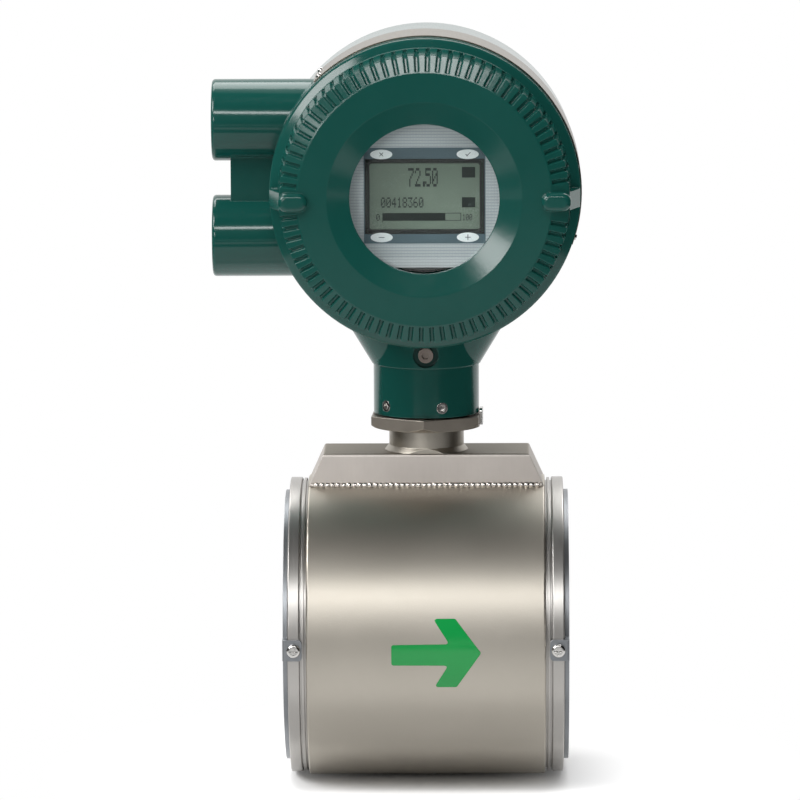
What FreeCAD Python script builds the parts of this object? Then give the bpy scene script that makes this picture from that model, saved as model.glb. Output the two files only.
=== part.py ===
import FreeCAD, Part
import math
import os

# Electromagnetic flow meter: a wafer sensor for an 80 mm line, with its converter head on a neck above it.
# Millimetres. The origin is the centre of the flow tube, +X is the flow direction,
# the display faces -Y and +Z is up.

# Lengths along the flow tube
face_to_face = 121.0            # outer face of one earth ring to the other
earth_ring_thickness = 1.9
ring_gasket_thickness = 0.6
lining_flare_thickness = 0.8
ring_seat_gap = 0.2             # earth ring to the flange rim beside the gasket
flange_width = 5.0
shell_groove = 2.8              # between the shell's end and the flange
shoulder_engagement = 3.0       # flange shoulder inside the end of the shell
lip_gap = 0.8                   # flange to the lip in the groove
lip_width = 1.1
lip_rise = 1.3                  # above the shoulder

# Radii of the flow tube and its shell
bore_radius = 39.0
lining_wall = 3.0
tube_wall = 2.5
lining_flare_inset = 4.0        # flare inside the earth ring's edge
earth_ring_inset = 5.4          # earth ring inside the flange's edge
flange_step = 1.1               # flange below the shell
magnet_space = 17.4             # room for the magnet between tube and shell
shell_wall = 2.6
weld_gap = 0.1                  # between welded or pressed pieces
shell_edge_round = 0.8
flange_edge_round = 0.5

# Earth ring tabs, bent over the flange rims at the front, and their screws
tab_height = 9.0
tab_length = 8.2
tab_thickness = 1.2
tab_corner_radius = 1.6
tab_fold_round = 1.0
tab_screw_radius = 1.5
tab_screw_head_radius = 2.9
tab_screw_head_height = 1.9
tab_screw_head_round = 1.0
tab_screw_length = 5.5
tab_screw_end_gap = 0.4          # screw end to the bottom of its hole
tab_screw_inset = 2.6           # screw axis behind the flange's outer face
tab_screw_slot_length = 3.5
tab_screw_slot_width = 0.6
tab_screw_slot_depth = 0.9
tab_leg_root = 4.0              # leg inside the ring's edge

# Measuring electrodes, front and back, level with the tube axis
electrode_head_radius = 4.5
electrode_head_thickness = 2.0
electrode_stem_radius = 2.0
electrode_stem_proud = 9.5      # stem outside the measuring tube
electrode_bush_radius = 5.5
electrode_bush_length = 8.0
electrode_nut_radius = 4.5
electrode_nut_length = 3.0
part_clearance = 0.1

# Magnet above and below the tube
core_radius = 13.0
coil_outer_radius = 25.0
coil_tube_gap = 2.0
coil_yoke_gap = 0.87            # at the coil's outer edge
coil_clearance = 0.3
coil_edge_round = 1.5
yoke_thickness = 1.2
yoke_width = 44.0
yoke_shell_gap = 0.4

# Pedestal box on top of the shell
pedestal_rise = 11.9            # top above the shell's crown
pedestal_foot_drop = 1.7        # foot width is measured this far below the crown
pedestal_side_inset = 0.5       # foot inside the shell's end
pedestal_side_lean = 6.2        # each side leans in from foot to top
pedestal_depth = 32.0
pedestal_wall = 2.5
pedestal_edge_round = 1.2
pedestal_foot_overlap = 2.0     # walls carried on below the shell's face, then cut to it
weld_bead_radius = 1.2
weld_bead_rise = 0.4            # bead centre outside the shell
weld_bead_inset = 0.6
wire_hole_radius = 7.0
wire_hole_x = 32.0

# Neck pipe, hexagonal flange and its spigot
neck_pipe_radius = 16.0
neck_pipe_wall = 3.0
neck_pipe_length = 10.2
neck_flare_radius = 17.8
neck_flare_height = 2.2
neck_flare_overhang = 0.2       # flare over the pedestal's edge
hex_across_flats = 45.9
hex_thickness = 5.3
hex_chamfer_width = 3.2         # on the bottom face, at the corners
hex_chamfer_rise = 2.0          # up the corners
hex_turn = -2.5                 # degrees, a corner faces a little left of the front
spigot_radius = 18.6
spigot_length = 12.1
spigot_fit = 0.05
wire_passage_radius = 12.0
neck_seal_section = 2.2
neck_seal_height = 9.0          # seal centre above the hexagon
stop_tab_width = 8.0
stop_tab_thickness = 1.3
stop_tab_height = 7.0
stop_tab_foot = 4.5             # tab on the hexagon's flat, below its top
stop_tab_corner_radius = 1.5

# Converter housing, one casting
drum_rise = 9.8                # underside of the drum above the neck's top
housing_front_y = -27.0
housing_rear_y = 54.0
housing_radius = 65.9
housing_rear_taper = 0.5
nameplate_land_end_y = 15.0
neck_gap = 0.7                  # hexagon to the underside of the housing neck
neck_radius = 22.6
neck_height = 21.3
throat_radius = 23.2
throat_depth = 35.4
throat_flare_angle = 31.3       # degrees from the vertical
throat_height = 26.0
throat_corner_radius = 17.0
mouth_thread_wall = 6.4
mouth_thread_depth = 10.0
seal_seat_wall = 4.0
seal_seat_depth = 2.5
chamber_wall = 8.4
divider_front_y = -14.0
divider_thickness = 4.0
divider_wire_hole_radius = 4.0
divider_wire_hole_inset = 15.5  # below the chamber's top
boss_radius = 17.4
boss_reach = 24.9               # boss ends outside the drum
boss_edge_round = 1.4
boss_root_depth = 27.5          # inside the chamber's wall, opened by the chambers
boss_spacing = 49.6
boss_rise = 3.9                 # middle of the two bosses above the head axis
web_reach = 17.0
web_thickness = 16.0
web_root_depth = 12.5
conduit_hole_radius = 9.3
conduit_mouth_radius = 10.8
conduit_chamfer = 1.5
conduit_hole_depth = 17.5       # past the chamber's wall line

# Screws that hold the head on the spigot
set_screw_radius = 2.4
set_screw_height = 4.2          # above the underside of the neck
set_screw_angles = (-48.9, 17.8)  # degrees from the front, towards +X
set_screw_socket = 2.5
set_screw_socket_depth = 2.0
set_screw_proud = 0.05
set_screw_hole_fit = 0.05

# Screws that lock the two covers
lock_screw_rise = 5.9           # above the neck's top
lock_recess_radius = 5.4
lock_recess_depth = 2.8
lock_head_radius = 3.2
lock_head_height = 3.2
lock_shank_radius = 2.0
lock_shank_length = 12.0
lock_socket = 3.0
lock_socket_depth = 1.6
lock_head_lift = 0.3            # head above its seat
rear_lug_radius = 5.5
rear_lug_length = 12.0
rear_lug_drop = 3.8             # lug axis below the housing's rear rim
rear_lug_setback = 4.2          # lug face in front of the housing's rear rim
rear_lug_web_height = 8.0

# Nameplate band round the housing
band_thickness = 0.45
band_clearance = 0.05           # band to the drum
band_front_y = -22.5
band_width = 35.0
band_start_angle = -20.0        # degrees from +X, towards the top
band_boss_gap = 0.5             # end of the band to the top of the upper boss
rivet_radius = 1.4
rivet_head_height = 0.8
rivet_inset = 3.0
rivet_y_inset = 4.5
rivet_shank_radius = 0.9

# Screwed covers, measured outwards from the housing mouth
cover_seat_gap = 0.4
rim_inset = 0.2                 # rim inside the drum's surface
rim_end = 5.1
rim_chamfer = 0.8
rim_step = 3.6
rim_step_end = 6.8
side_taper = 1.3
cover_side_end = 24.9
bevel_width = 7.6
cover_face_end = 27.0
face_width = 21.7               # face ring from the bevel in to the window
dish_width = 9.5
dish_depth = 2.3
cover_thread_clearance = 0.1
cover_spigot_wall = 4.9
cover_spigot_length = 9.2
cover_cavity_corner = 16.5
cover_face_wall = 4.5
cover_cavity_inset = 5.2        # cavity floor edge inside the face's edge
rib_count = 80
rib_turn = 0.75                 # degrees
groove_depth = 1.1
groove_width = 2.1              # at the surface
groove_floor_width = 0.9
groove_lip = 1.0                # cutter above the surface
groove_start = 0.7              # outside the face's edge
groove_end = 7.6
groove_overrun = 1.5            # cutter past the corner
groove_lug_gap = 0.5
lug_inner_overlap = 4.2         # over the face's edge
lug_outer_overlap = 0.7         # outside the cover's side
lug_height = 8.0
lug_drop = 1.0                  # lugs below the cover's axis
lug_proud = 2.4
lug_root = 6.4                  # lug's foot behind the bevel
lug_round = 2.2
wedge_height = 7.6
wedge_start = 24.0
wedge_end = 10.5
wedge_thickness = 4.0
wedge_rim_inset = 0.3
wedge_top_inset = 0.6
cover_seal_section = 2.5
rear_dish_depth = 1.2

# Window in the front cover
glass_overlap = 4.7             # glass under the window's edge
glass_thickness = 5.0
window_gasket_thickness = 0.8
window_gasket_inset = 0.3       # gasket bore outside the window's edge
window_seat = 22.2
retainer_bore_inset = 1.5
retainer_thickness = 3.0
retainer_clearance = 0.2
glass_pocket_gap = 2.2
glass_hub_wall = 3.6

# Display stack in the front compartment
bezel_front_y = -38.6
bezel_thickness = 1.6
bezel_gap = 5.5                 # bezel inside the cover's cavity
bezel_drop = 30.1
bezel_rise = 40.0
lcd_frame_width = 48.4
lcd_frame_height = 30.0
lcd_frame_wall = 0.95
lcd_frame_proud = 0.3
lcd_frame_depth = 4.3
lcd_glass_recess = 0.6
lcd_glass_thickness = 2.2
lcd_clearance = 0.1
lcd_corner_radius = 0.8
lcd_pocket_corner_radius = 1.2
board_clearance = 8.11          # board corners inside the chamber's wall
board_height = 52.0
board_corner_radius = 4.0
board_thickness = 1.6
board_hole_inset_x = 5.0
board_hole_inset_z = 4.0
standoff_radius = 3.0
standoff_length = 9.9
display_screw_radius = 1.5
display_screw_head_radius = 2.7
display_screw_head_height = 1.5
module_width = 50.0
module_height = 36.0
module_thickness = 6.5
module_corner_radius = 2.0

# Terminals in the rear compartment
terminal_block_width = 72.0
terminal_block_height = 24.0
terminal_block_thickness = 12.0
terminal_block_drop = 14.0      # block centre below the head axis
terminal_count = 8
barrier_height = 4.0
barrier_thickness = 1.6
terminal_screw_radius = 2.9
terminal_screw_height = 2.4
terminal_slot_width = 0.9
terminal_slot_depth = 0.8
earth_screw_radius = 4.0
earth_screw_inset = 15.07       # inside the chamber's wall, up at 45 degrees
earth_screw_length = 6.0
earth_slot_width = 1.0
earth_slot_depth = 1.0

# Places that follow from the sizes above
half_length = face_to_face / 2.0
ring_inner_x = half_length - earth_ring_thickness
gasket_inner_x = ring_inner_x - ring_gasket_thickness
flare_inner_x = gasket_inner_x - lining_flare_thickness
flange_outer_x = ring_inner_x - ring_seat_gap
flange_inner_x = flange_outer_x - flange_width
shell_half = flange_inner_x - shell_groove
lining_radius = bore_radius + lining_wall
tube_radius = lining_radius + tube_wall
shell_inner_radius = tube_radius + magnet_space
shell_radius = shell_inner_radius + shell_wall
flange_radius = shell_radius - flange_step
earth_ring_radius = flange_radius - earth_ring_inset
lining_flare_radius = earth_ring_radius - lining_flare_inset
shoulder_radius = shell_inner_radius - weld_gap
yoke_radius = shell_inner_radius - yoke_shell_gap
yoke_inner_radius = yoke_radius - yoke_thickness
coil_bottom = tube_radius + coil_tube_gap
coil_top = math.sqrt(yoke_inner_radius ** 2 - coil_outer_radius ** 2) - coil_yoke_gap
pedestal_top_z = shell_radius + pedestal_rise
pedestal_foot_z = shell_radius - pedestal_foot_drop
pedestal_foot_width = 2 * (shell_half - pedestal_side_inset)
pedestal_top_width = pedestal_foot_width - 2 * pedestal_side_lean
hex_bottom_z = pedestal_top_z + neck_pipe_length
hex_top_z = hex_bottom_z + hex_thickness
spigot_top_z = hex_top_z + spigot_length
neck_bottom_z = hex_top_z + neck_gap
neck_top_z = neck_bottom_z + neck_height
spigot_bore_radius = spigot_radius + spigot_fit
set_screw_z = neck_bottom_z + set_screw_height
lock_screw_z = neck_top_z + lock_screw_rise
head_axis_z = neck_top_z + drum_rise + housing_radius
housing_rear_radius = housing_radius - housing_rear_taper
mouth_thread_radius = housing_radius - mouth_thread_wall
seal_seat_radius = housing_radius - seal_seat_wall
chamber_radius = housing_radius - chamber_wall
divider_rear_y = divider_front_y + divider_thickness
boss_end_x = -housing_radius - boss_reach
boss_root_x = boss_root_depth - chamber_radius
web_end_x = -housing_radius - web_reach
web_root_x = web_root_depth - chamber_radius
conduit_hole_end_x = conduit_hole_depth - chamber_radius
boss_middle_z = head_axis_z + boss_rise
boss_heights = (boss_middle_z + boss_spacing / 2.0, boss_middle_z - boss_spacing / 2.0)
band_end_rise = boss_heights[0] + boss_radius + band_boss_gap - head_axis_z
band_end_angle = 180.0 - math.degrees(math.asin(band_end_rise / housing_radius))
band_inner_radius = housing_radius + band_clearance
band_outer_radius = band_inner_radius + band_thickness
rim_radius = housing_radius - rim_inset
rear_rim_radius = housing_rear_radius - rim_inset
side_start_radius = rim_radius - rim_step
cover_radius = side_start_radius - side_taper
cover_face_radius = cover_radius - bevel_width
window_radius = cover_face_radius - face_width
dish_radius = window_radius + dish_width
glass_radius = window_radius + glass_overlap
glass_pocket_radius = glass_radius + glass_pocket_gap
glass_hub_radius = glass_pocket_radius + glass_hub_wall
cover_spigot_radius = mouth_thread_radius - cover_thread_clearance
cover_cavity_radius = cover_spigot_radius - cover_spigot_wall
rear_lug_z = head_axis_z - housing_rear_radius - rear_lug_drop
bevel_slope = (cover_face_end - cover_side_end) / bevel_width
side_slope = side_taper / (cover_side_end - rim_step_end)
bezel_radius = cover_cavity_radius - bezel_gap
board_half_width = math.sqrt((chamber_radius - board_clearance) ** 2 - (board_height / 2.0) ** 2)

along_x = FreeCAD.Vector(1, 0, 0)
along_y = FreeCAD.Vector(0, 1, 0)
along_z = FreeCAD.Vector(0, 0, 1)


def point(x, y, z):
    return FreeCAD.Vector(x, y, z)


# Basic shapes
def rod(radius, start, direction, length):
    return Part.makeCylinder(radius, length, start, direction)


def sleeve(outer, inner, start, direction, length):
    return rod(outer, start, direction, length).cut(rod(inner, start, direction, length))


def box(width, depth, height, centre):
    corner = centre - point(width / 2.0, depth / 2.0, height / 2.0)
    return Part.makeBox(width, depth, height, corner)


def face_of(points):
    return Part.Face(Part.makePolygon(points + points[:1]))


def turned_about_x(profile):
    # profile is a list of (x, radius)
    face = face_of([point(x, 0, radius) for x, radius in profile])
    return face.revolve(point(0, 0, 0), along_x, 360)


def turned(profile):
    # profile is a list of (radius, height) about the vertical axis
    face = face_of([point(radius, 0, height) for radius, height in profile])
    return face.revolve(point(0, 0, 0), along_z, 360)


def torus(ring_radius, section_radius, height):
    return Part.makeTorus(ring_radius, section_radius, point(0, 0, height), along_z)


def rounded_plate(width, height, thickness, corner):
    # upright plate facing -Y, its front on y = 0, centred on the origin
    plate = box(width, thickness, height, point(0, thickness / 2.0, 0))
    edges = [e for e in plate.Edges if abs(e.tangentAt(e.FirstParameter).y) > 0.99]
    return plate.makeFillet(corner, edges)


def moved(shape, x, y, z):
    copy = shape.copy()
    copy.translate(point(x, y, z))
    return copy


def mirrored_x(shape):
    return shape.mirror(point(0, 0, 0), along_x)


def circle_edges(shape, radius, position, axis_name):
    # round edges of one radius whose centre lies at a position along one axis
    found = []
    for edge in shape.Edges:
        curve = edge.Curve
        if not isinstance(curve, Part.Circle):
            continue
        at_place = abs(getattr(curve.Center, axis_name) - position) < 0.01
        if at_place and abs(curve.Radius - radius) < 0.01:
            found.append(edge)
    return found


def hexagon_prism(across_flats, start, direction, depth):
    # hexagonal bar or socket of the given length
    corner = across_flats / math.sqrt(3.0)
    ring = [point(corner * math.cos(math.radians(60 * i)), corner * math.sin(math.radians(60 * i)), 0)
            for i in range(6)]
    prism = face_of(ring).extrude(point(0, 0, depth))
    prism.Placement = FreeCAD.Placement(start, FreeCAD.Rotation(along_z, direction))
    return prism


def at_front_mouth(shape):
    # local +Z points out of the housing's front mouth
    copy = shape.copy()
    copy.rotate(point(0, 0, 0), along_x, 90)
    copy.translate(point(0, housing_front_y, head_axis_z))
    return copy


def at_rear_mouth(shape):
    # local +Z points out of the housing's rear mouth
    copy = shape.copy()
    copy.rotate(point(0, 0, 0), along_x, -90)
    copy.translate(point(0, housing_rear_y, head_axis_z))
    return copy


# Flow tube
def lining():
    profile = [(-flare_inner_x, lining_radius), (-flare_inner_x, lining_flare_radius),
               (-gasket_inner_x, lining_flare_radius), (-gasket_inner_x, bore_radius),
               (gasket_inner_x, bore_radius), (gasket_inner_x, lining_flare_radius),
               (flare_inner_x, lining_flare_radius), (flare_inner_x, lining_radius)]
    body = turned_about_x(profile)
    seat_depth = bore_radius + electrode_head_thickness
    for side in (-1, 1):
        outward = point(0, side, 0)
        seat_radius = electrode_head_radius + part_clearance
        body = body.cut(rod(seat_radius, point(0, 0, 0), outward, seat_depth))
        stem_hole = rod(electrode_stem_radius + part_clearance, point(0, 0, 0), outward, tube_radius)
        body = body.cut(stem_hole)
    return body


def measuring_tube():
    profile = [(-flare_inner_x, lining_radius), (-flare_inner_x, tube_radius),
               (flare_inner_x, tube_radius), (flare_inner_x, lining_radius)]
    body = turned_about_x(profile)
    hole = rod(electrode_bush_radius + part_clearance, point(0, -tube_radius - 1, 0), along_y,
               2 * tube_radius + 2)
    return body.cut(hole)


def flange_ring():
    # outlet side, with the recess for the lining's flare and the shoulder inside the shell
    inner = tube_radius + weld_gap
    shoulder_x = shell_half - shoulder_engagement
    flare_seat = lining_flare_radius + weld_gap
    lip_outer_x = flange_inner_x - lip_gap
    lip_inner_x = lip_outer_x - lip_width
    lip_radius = shoulder_radius + lip_rise
    profile = [(shoulder_x, inner), (shoulder_x, shoulder_radius), (lip_inner_x, shoulder_radius),
               (lip_inner_x, lip_radius), (lip_outer_x, lip_radius),
               (lip_outer_x, shoulder_radius), (flange_inner_x, shoulder_radius),
               (flange_inner_x, flange_radius), (flange_outer_x, flange_radius),
               (flange_outer_x, flare_seat), (flare_inner_x, flare_seat), (flare_inner_x, inner)]
    body = turned_about_x(profile)
    edges = circle_edges(body, flange_radius, flange_outer_x, "x")
    edges += circle_edges(body, flange_radius, flange_inner_x, "x")
    body = body.makeFillet(flange_edge_round, edges)
    screw_hole = rod(tab_screw_radius, point(tab_screw_x(), -flange_radius - 1, 0), along_y,
                     tab_screw_length + 1)
    return body.cut(screw_hole)


def tab_screw_x():
    return flange_outer_x - tab_screw_inset


def sensor_shell():
    half = shell_half
    profile = [(-half, shell_inner_radius), (-half, shell_radius),
               (half, shell_radius), (half, shell_inner_radius)]
    body = turned_about_x(profile)
    edges = circle_edges(body, shell_radius, half, "x") + circle_edges(body, shell_radius, -half, "x")
    body = body.makeFillet(shell_edge_round, edges)
    wire_hole = rod(wire_hole_radius, point(wire_hole_x, 0, shell_radius - 2 * shell_wall), along_z,
                    4 * shell_wall)
    return body.cut(wire_hole)


# Earth rings, their gaskets and screws
def tab_front_y():
    return -flange_radius - part_clearance - tab_thickness


def earth_ring():
    # outlet side, flat ring with a leg and a tab folded back over the flange rim
    profile = [(ring_inner_x, bore_radius), (ring_inner_x, earth_ring_radius),
               (half_length, earth_ring_radius), (half_length, bore_radius)]
    ring = turned_about_x(profile)
    leg_depth = -tab_front_y() - earth_ring_radius + tab_leg_root
    leg_centre = point(half_length - earth_ring_thickness / 2.0, tab_front_y() + leg_depth / 2.0, 0)
    leg = box(earth_ring_thickness, leg_depth, tab_height, leg_centre)
    tab = rounded_plate(2 * tab_length, tab_height, tab_thickness, tab_corner_radius)
    tab = moved(tab, half_length, tab_front_y(), 0)
    outlet_half = box(tab_length, 4 * tab_thickness, 2 * tab_height,
                      point(half_length - tab_length / 2.0, tab_front_y(), 0))
    tab = tab.common(outlet_half)
    body = ring.fuse([leg, tab]).removeSplitter()
    fold = [e for e in body.Edges if is_fold_edge(e)]
    body = body.makeFillet(tab_fold_round, fold)
    hole = rod(tab_screw_radius + part_clearance, point(tab_screw_x(), tab_front_y() - 1, 0), along_y,
               tab_thickness + 2)
    return body.cut(hole)


def is_fold_edge(edge):
    centre = edge.CenterOfMass
    upright = abs(edge.tangentAt(edge.FirstParameter).z) > 0.99
    return upright and abs(centre.x - half_length) < 0.01 and abs(centre.y - tab_front_y()) < 0.01


def ring_gaskets():
    outlet = sleeve(lining_flare_radius, bore_radius, point(gasket_inner_x, 0, 0), along_x,
                    ring_gasket_thickness)
    return [outlet, mirrored_x(outlet)]


def tab_screws():
    head_y = tab_front_y() - tab_screw_head_height
    head = rod(tab_screw_head_radius, point(tab_screw_x(), head_y, 0), along_y, tab_screw_head_height)
    rim = circle_edges(head, tab_screw_head_radius, head_y, "y")
    head = head.makeFillet(tab_screw_head_round, rim)
    shank_length = tab_screw_length + tab_thickness + part_clearance - tab_screw_end_gap
    shank = rod(tab_screw_radius - part_clearance, point(tab_screw_x(), tab_front_y(), 0), along_y,
                shank_length)
    screw = head.fuse(shank)
    for width, height in ((tab_screw_slot_length, tab_screw_slot_width),
                          (tab_screw_slot_width, tab_screw_slot_length)):
        slot = box(width, 2 * tab_screw_slot_depth, height, point(tab_screw_x(), head_y, 0))
        screw = screw.cut(slot)
    return [screw, mirrored_x(screw)]


# Electrodes and magnet
def electrodes():
    head = rod(electrode_head_radius, point(0, bore_radius, 0), along_y, electrode_head_thickness)
    stem_length = tube_radius + electrode_stem_proud - bore_radius
    stem = rod(electrode_stem_radius, point(0, bore_radius, 0), along_y, stem_length)
    rear = head.fuse(stem)
    return [rear, rear.mirror(point(0, 0, 0), along_y)]


def electrode_bushes():
    start = lining_radius + part_clearance
    rear = sleeve(electrode_bush_radius, electrode_stem_radius + part_clearance, point(0, start, 0),
                  along_y, electrode_bush_length)
    return [rear, rear.mirror(point(0, 0, 0), along_y)]


def electrode_nuts():
    start = lining_radius + part_clearance + electrode_bush_length
    nut = hexagon_prism(2 * electrode_nut_radius, point(0, start, 0), along_y, electrode_nut_length)
    nut = nut.cut(rod(electrode_stem_radius + part_clearance, point(0, start, 0), along_y,
                      electrode_nut_length))
    return [nut, nut.mirror(point(0, 0, 0), along_y)]


def yoke_band():
    return sleeve(yoke_radius, yoke_inner_radius, point(-yoke_width / 2.0, 0, 0), along_x, yoke_width)


def pole_cores():
    top = rod(core_radius, point(0, 0, lining_radius), along_z, yoke_radius - lining_radius)
    start = point(-yoke_width, 0, 0)
    top = top.common(rod(yoke_inner_radius, start, along_x, 2 * yoke_width))
    top = top.cut(rod(tube_radius + part_clearance, start, along_x, 2 * yoke_width))
    return [top, top.mirror(point(0, 0, 0), along_z)]


def field_coils():
    top = sleeve(coil_outer_radius, core_radius + coil_clearance, point(0, 0, coil_bottom), along_z,
                 coil_top - coil_bottom)
    top = top.makeFillet(coil_edge_round, circle_edges(top, coil_outer_radius, coil_top, "z"))
    return [top, top.mirror(point(0, 0, 0), along_z)]


# Pedestal and neck
def pedestal_outline(inset, foot_z):
    # corners of the front view, with the sides drawn in by the wall
    slope = pedestal_side_lean / (pedestal_top_z - pedestal_foot_z)
    top_z = pedestal_top_z - inset
    top_half = pedestal_top_width / 2.0 - inset + inset * slope
    foot_half = top_half + (top_z - foot_z) * slope
    return [(-foot_half, foot_z), (foot_half, foot_z), (top_half, top_z), (-top_half, top_z)]


def pedestal_block(inset, foot_z):
    half_depth = pedestal_depth / 2.0 - inset
    points = [point(x, -half_depth, z) for x, z in pedestal_outline(inset, foot_z)]
    return face_of(points).extrude(point(0, 2 * half_depth, 0))


def pedestal():
    foot_z = math.sqrt(shell_radius ** 2 - (pedestal_depth / 2.0) ** 2)
    foot_z -= pedestal_foot_overlap
    block = pedestal_block(0, foot_z)
    top_edges = [e for e in block.Edges if abs(e.CenterOfMass.z - pedestal_top_z) < 0.01]
    block = block.makeFillet(pedestal_edge_round, top_edges)
    block = block.cut(pedestal_block(pedestal_wall, foot_z - 1))
    weld_z = math.sqrt((shell_radius + weld_bead_rise) ** 2 - (pedestal_depth / 2.0) ** 2)
    bead_length = pedestal_foot_width - 2 * weld_bead_inset
    for side in (-1, 1):
        bead_start = point(-bead_length / 2.0, side * pedestal_depth / 2.0, weld_z)
        block = block.fuse(rod(weld_bead_radius, bead_start, along_x, bead_length))
    shell_space = rod(shell_radius + weld_gap, point(-half_length, 0, 0), along_x, face_to_face)
    block = block.cut(shell_space)
    hole_start = point(0, 0, shell_inner_radius)
    pipe_hole = rod(neck_pipe_radius - neck_pipe_wall, hole_start, along_z,
                    pedestal_top_z + 1 - shell_inner_radius)
    return block.cut(pipe_hole).removeSplitter()


def neck_pipe():
    inner = neck_pipe_radius - neck_pipe_wall
    pipe = turned([(inner, pedestal_top_z), (neck_flare_radius, pedestal_top_z),
                   (neck_pipe_radius, pedestal_top_z + neck_flare_height),
                   (neck_pipe_radius, hex_bottom_z), (inner, hex_bottom_z)])
    within_pedestal = box(pedestal_top_width, pedestal_depth + 2 * neck_flare_overhang,
                          4 * neck_pipe_length, point(0, 0, pedestal_top_z))
    return pipe.common(within_pedestal)


def neck_flange():
    hexagon = hexagon_prism(hex_across_flats, point(0, 0, hex_bottom_z), along_z, hex_thickness)
    hexagon.rotate(point(0, 0, 0), along_z, 30 + hex_turn)
    corner = hex_across_flats / math.sqrt(3.0)
    cone_radius = corner + hex_chamfer_width
    chamfer_cone = turned([(0, hex_bottom_z), (corner - hex_chamfer_width, hex_bottom_z),
                           (cone_radius, hex_bottom_z + 2 * hex_chamfer_rise),
                           (cone_radius, hex_top_z), (0, hex_top_z)])
    hexagon = hexagon.common(chamfer_cone)
    spigot = rod(spigot_radius, point(0, 0, hex_top_z), along_z, spigot_length)
    body = hexagon.fuse(spigot)
    body = body.cut(rod(wire_passage_radius, point(0, 0, hex_bottom_z - 1), along_z,
                        hex_thickness + spigot_length + 2))
    seal_z = hex_top_z + neck_seal_height
    groove = sleeve(spigot_radius + 2, spigot_radius - neck_seal_section,
                    point(0, 0, seal_z - neck_seal_section / 2.0 - 0.1), along_z, neck_seal_section + 0.2)
    return body.cut(groove).removeSplitter()


def neck_seal():
    seal_z = hex_top_z + neck_seal_height
    return torus(spigot_radius - neck_seal_section / 2.0, neck_seal_section / 2.0 - 0.05, seal_z)


def stop_tab():
    # small plate on the hexagon's right-hand flat, standing up beside the housing neck
    plate = box(stop_tab_thickness, stop_tab_width, stop_tab_height, point(0, 0, 0))
    edges = [e for e in plate.Edges if is_upper_corner(e, stop_tab_height)]
    plate = plate.makeFillet(stop_tab_corner_radius, edges)
    plate.translate(point(hex_across_flats / 2.0 + stop_tab_thickness / 2.0, 0,
                          hex_top_z - stop_tab_foot + stop_tab_height / 2.0))
    plate.rotate(point(0, 0, 0), along_z, hex_turn)
    return plate


def is_upper_corner(edge, height):
    across = abs(edge.tangentAt(edge.FirstParameter).x) > 0.99
    return across and edge.CenterOfMass.z > height / 2.0 - 0.01


# Converter housing
def drum():
    face = face_of([point(0, housing_front_y, head_axis_z),
                    point(housing_radius, housing_front_y, head_axis_z),
                    point(housing_radius, nameplate_land_end_y, head_axis_z),
                    point(housing_rear_radius, housing_rear_y, head_axis_z),
                    point(0, housing_rear_y, head_axis_z)])
    return face.revolve(point(0, 0, head_axis_z), along_y, 360)


def throat():
    column = rod(throat_radius, point(0, 0, neck_top_z), along_z, throat_height)
    rise = throat_height * math.tan(math.radians(throat_flare_angle))
    half_depth = throat_depth / 2.0
    outline = [(-throat_radius, neck_top_z), (throat_radius, neck_top_z),
               (throat_radius + rise, neck_top_z + throat_height),
               (-throat_radius - rise, neck_top_z + throat_height)]
    wings = face_of([point(x, -half_depth, z) for x, z in outline]).extrude(point(0, throat_depth, 0))
    slanted = [e for e in wings.Edges if 0.1 < abs(e.tangentAt(e.FirstParameter).z) < 0.99]
    wings = wings.makeFillet(throat_corner_radius, slanted)
    return column.fuse(wings)


def conduit_bosses():
    solids = []
    for height in boss_heights:
        boss = rod(boss_radius, point(boss_end_x, 0, height), along_x, boss_root_x - boss_end_x)
        boss = boss.makeFillet(boss_edge_round, circle_edges(boss, boss_radius, boss_end_x, "x"))
        solids.append(boss)
    web_length = web_root_x - web_end_x
    solids.append(box(web_length, web_thickness, boss_spacing,
                      point(web_end_x + web_length / 2.0, 0, boss_middle_z)))
    return solids


def conduit_holes():
    holes = []
    for height in boss_heights:
        start = point(boss_end_x, 0, height)
        holes.append(rod(conduit_hole_radius, start, along_x, conduit_hole_end_x - boss_end_x))
        chamfer = Part.makeCone(conduit_mouth_radius, conduit_hole_radius, conduit_chamfer, start, along_x)
        holes.append(chamfer)
    return holes


def mouth_cut(chamber_depth):
    # chamber, thread and seal seat, measured inwards from a mouth
    return turned([(0, 1), (seal_seat_radius, 1), (seal_seat_radius, -seal_seat_depth),
                   (mouth_thread_radius, -seal_seat_depth), (mouth_thread_radius, -mouth_thread_depth),
                   (chamber_radius, -mouth_thread_depth), (chamber_radius, -chamber_depth),
                   (0, -chamber_depth)])


def set_screw_direction(angle):
    return point(math.sin(math.radians(angle)), -math.cos(math.radians(angle)), 0)


def screw_holes():
    holes = []
    for angle in set_screw_angles:
        outward = set_screw_direction(angle)
        holes.append(rod(set_screw_radius + set_screw_hole_fit, point(0, 0, set_screw_z), outward,
                         neck_radius + 2))
    front_face_y = -throat_radius
    holes.append(rod(lock_recess_radius, point(0, front_face_y - 2, lock_screw_z), along_y,
                     lock_recess_depth + 2))
    holes.append(rod(lock_shank_radius, point(0, front_face_y, lock_screw_z), along_y,
                     lock_shank_length + lock_recess_depth))
    rear_hole_y = housing_rear_y - rear_lug_setback - lock_shank_length
    holes.append(rod(lock_shank_radius, point(0, rear_hole_y, rear_lug_z), along_y, lock_shank_length + 1))
    return holes


def rear_lug():
    start = point(0, housing_rear_y - rear_lug_setback - rear_lug_length, rear_lug_z)
    lug = rod(rear_lug_radius, start, along_y, rear_lug_length)
    web = box(2 * rear_lug_radius, rear_lug_length, rear_lug_web_height,
              start + point(0, rear_lug_length / 2.0, rear_lug_web_height / 2.0))
    return lug.fuse(web)


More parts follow.
